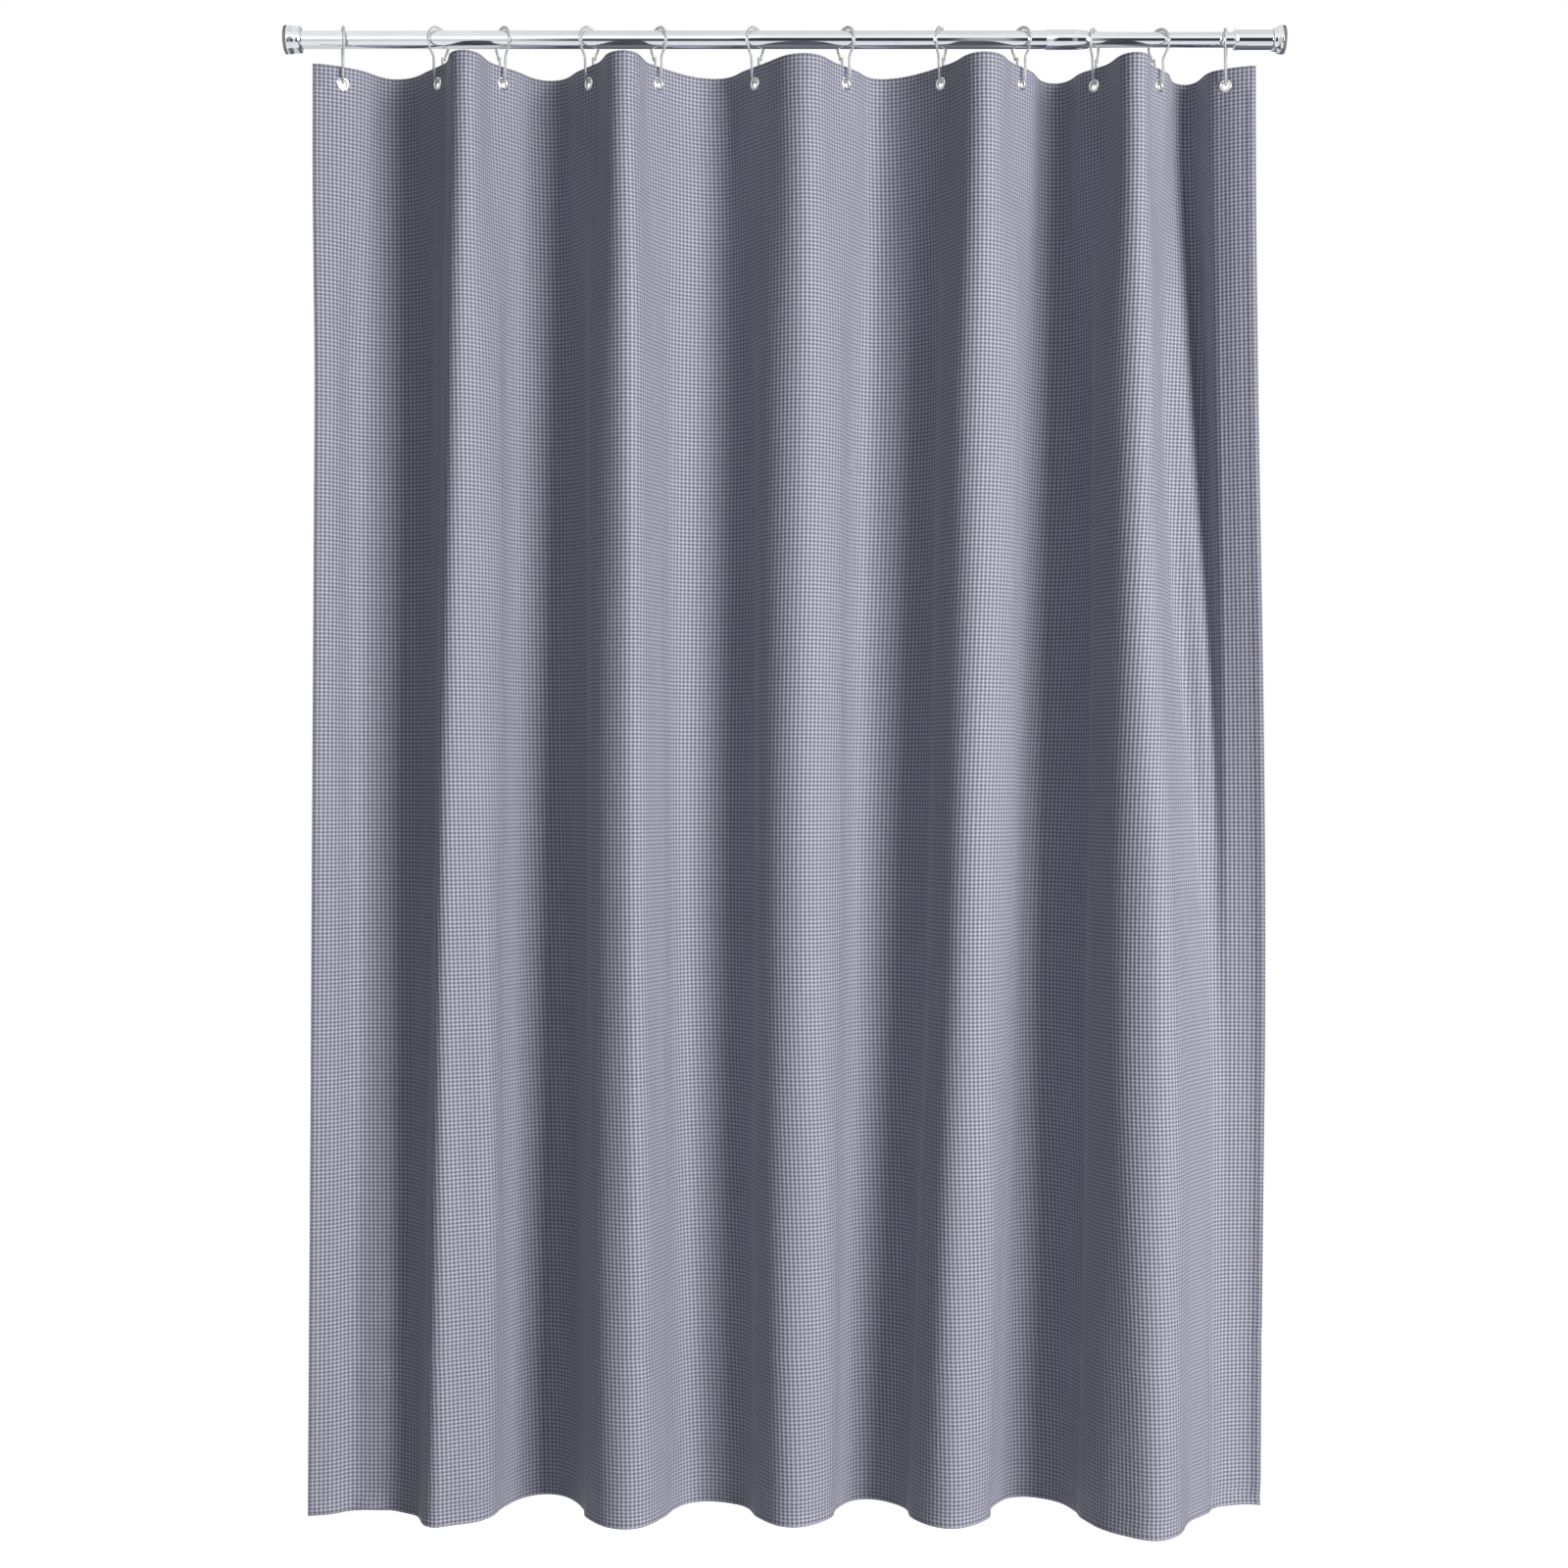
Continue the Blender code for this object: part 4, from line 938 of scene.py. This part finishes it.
def build_rings():
    for ring in range(RING_COUNT):
        node = f"ring_{ring + 1:02d}"
        path = ring_path(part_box(node)[1].z)
        curve = bpy.data.curves.new(node, "CURVE")
        curve.dimensions = "3D"
        curve.bevel_depth = RING_WIRE
        curve.bevel_resolution = 4
        curve.use_fill_caps = True
        spline = curve.splines.new("POLY")
        spline.points.add(len(path) - 1)
        turn = Matrix.Rotation(math.radians(RING_TURNS[ring]), 3, "Z")
        for point, (depth, height, swell) in zip(spline.points, path):
            place = turn @ Vector((0.0, depth, height))
            point.co = (RING_X[ring] + place.x, place.y, place.z, 1.0)
            point.radius = swell
        rough = bpy.data.objects.new(f"{node}_curve", curve)
        mesh = bpy.data.meshes.new_from_object(rough)
        bpy.data.objects.remove(rough)
        shape = bmesh.new()
        shape.from_mesh(mesh)
        bpy.data.meshes.remove(mesh)
        bmesh.ops.remove_doubles(shape, verts=shape.verts, dist=1e-6)
        bmesh.ops.recalc_face_normals(shape, faces=shape.faces)
        made = add_piece(shape, f"{node}_fine", CLEAR, 50)
        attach(made, ring_body(ring))
        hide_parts(node)


# ------------------------------------------------------------------ stage
FLOOR_Z = -2.25
FLOOR_HALF = 7.0
FLOOR_WHITENS = (0.2, 1.0)              # depth over which the floor grows white behind the rod
STAGE_MIDDLE = (0.63, 0.0, -0.95)
# Reflecting cards by height (0 straight down, 1 straight up), on the room side and behind.
FRONT_CARDS = [(0.00, (0.86, 0.88, 0.92)), (0.19, (0.80, 0.82, 0.87)),
               (0.235, (0.05, 0.06, 0.07)), (0.52, (0.02, 0.02, 0.03)),
               (0.545, (1.0, 1.0, 1.0)), (0.84, (0.98, 0.99, 0.99)),
               (0.88, (0.74, 0.76, 0.76)), (1.00, (0.80, 0.81, 0.82))]
REAR_CARDS = [(0.00, (0.20, 0.21, 0.24)), (0.30, (0.09, 0.10, 0.12)),
              (0.58, (0.05, 0.05, 0.07)), (0.70, (0.62, 0.64, 0.64)),
              (1.00, (0.80, 0.81, 0.82))]
WHITE_CARD = (0.93, 0.94, 0.95)
CARD_DEPTH = 0.03                       # over which the front cards give way to the rear ones
# The dark cards start right of the rod's left end and are paler over one short stretch.
DARK_START = (-0.18, -0.11)
PALE_START = (0.150, 0.165)
PALE_END = (0.190, 0.197)
PALE_SHARE = 0.6
PLAIN_DARK = 0.30                       # share of the cards' dark that is left outside
CLOTH_FILL = (0.054, 0.054, 0.061)
SEEN_THROUGH = 0.35                     # share of white seen through the clear rings
KEY_POWER = 570
FILL_POWER = 10
CAMERA_PLACE = (0.631, -2.7, -0.9415)
CAMERA_LENS = 49.0                      # millimetres, on a sensor this wide
CAMERA_SENSOR = 36.0


def smooth_share(made, value, span):
    """From 0 to 1 as a value passes through a span."""
    return made.node("ShaderNodeMapRange", {"Value": value, 1: span[0], 2: span[1], 3: 0.0,
                                            4: 1.0}, interpolation_type="SMOOTHSTEP")


def build_floor():
    shape = bmesh.new()
    bmesh.ops.create_grid(shape, x_segments=1, y_segments=1, size=FLOOR_HALF,
                          matrix=Matrix.Translation((STAGE_MIDDLE[0], 0.0, FLOOR_Z)))
    made = Finish("pale_floor")
    depth = made.node("ShaderNodeSeparateXYZ", {0: made.place()}, out="Y")
    behind = smooth_share(made, depth, FLOOR_WHITENS)
    made.set(Base_Color=(0.86, 0.86, 0.86), Roughness=0.9, Emission_Strength=1.0,
             Emission_Color=made.mix(behind, (0.0, 0.0, 0.0), (1.0, 1.0, 1.0)))
    floor = add_piece(shape, "floor", made.material)
    floor.visible_glossy = False


def build_world():
    """White to look at; in the chrome, a white studio with a dark band; on cloth, a dim fill."""
    world = bpy.data.worlds.new("studio")
    bpy.context.scene.world = world
    world.use_nodes = True
    made = Nodes(world.node_tree)
    seen = made.node("ShaderNodeLightPath", out="Is Camera Ray")
    path = seen.socket.node.outputs
    glossy = Value(made, path["Is Glossy Ray"])
    through = Value(made, path["Is Transmission Ray"])
    along = made.node("ShaderNodeSeparateXYZ",
                      {0: made.node("ShaderNodeTexCoord", out="Generated")}, out="X")
    axes = along.socket.node.outputs
    back, height = Value(made, axes["Y"]), Value(made, axes["Z"])

    level = height * 0.5 + 0.5
    front_cards = made.node("ShaderNodeValToRGB", {"Fac": level}, stops=FRONT_CARDS)
    rear_cards = made.node("ShaderNodeValToRGB", {"Fac": level}, stops=REAR_CARDS)
    behind = smooth_share(made, back, (-CARD_DEPTH, CARD_DEPTH))
    cards = made.mix(behind, front_cards, rear_cards)
    pale = smooth_share(made, along, PALE_START) * (1.0 - smooth_share(made, along, PALE_END))
    dark = smooth_share(made, along, DARK_START) * (1.0 - PALE_SHARE * pale)
    cards = made.mix(dark, made.mix(PLAIN_DARK, WHITE_CARD, cards), cards)
    fill = made.mix(glossy, CLOTH_FILL, cards)
    white = seen.maths("MAXIMUM", seen, through * SEEN_THROUGH)
    shown = made.mix(white, fill, (1.0, 1.0, 1.0))
    made.tree.links.new(shown.socket, made.tree.nodes["Background"].inputs["Color"])


def add_area(name, place, size, power, colour):
    """A rectangular lamp that looks at the middle of the curtain."""
    data = bpy.data.lights.new(name, "AREA")
    data.shape = "RECTANGLE"
    data.size, data.size_y = size
    data.energy = power
    data.color = colour
    made = bpy.data.objects.new(name, data)
    bpy.context.scene.collection.objects.link(made)
    made.location = place
    towards = Vector(STAGE_MIDDLE) - Vector(place)
    made.rotation_euler = towards.to_track_quat("-Z", "Y").to_euler()


def build_lights():
    add_area("key_right", (5.15, -4.70, -0.40), (2.4, 4.6), KEY_POWER, (1.0, 0.985, 0.97))
    add_area("front_fill", (-0.6, -4.5, 0.2), (2.5, 2.5), FILL_POWER, (0.94, 0.96, 1.0))


def build_camera():
    data = bpy.data.cameras.new("camera")
    data.lens = CAMERA_LENS
    data.sensor_width = CAMERA_SENSOR
    camera = bpy.data.objects.new("camera", data)
    bpy.context.scene.collection.objects.link(camera)
    camera.location = CAMERA_PLACE
    camera.rotation_euler = (math.pi / 2, 0.0, 0.0)
    bpy.context.scene.camera = camera


build_camera()
build_world()
build_lights()
build_floor()
build_rod()
build_rings()
build_curtain()
build_grommets()
bpy.context.scene.view_settings.view_transform = "Standard"
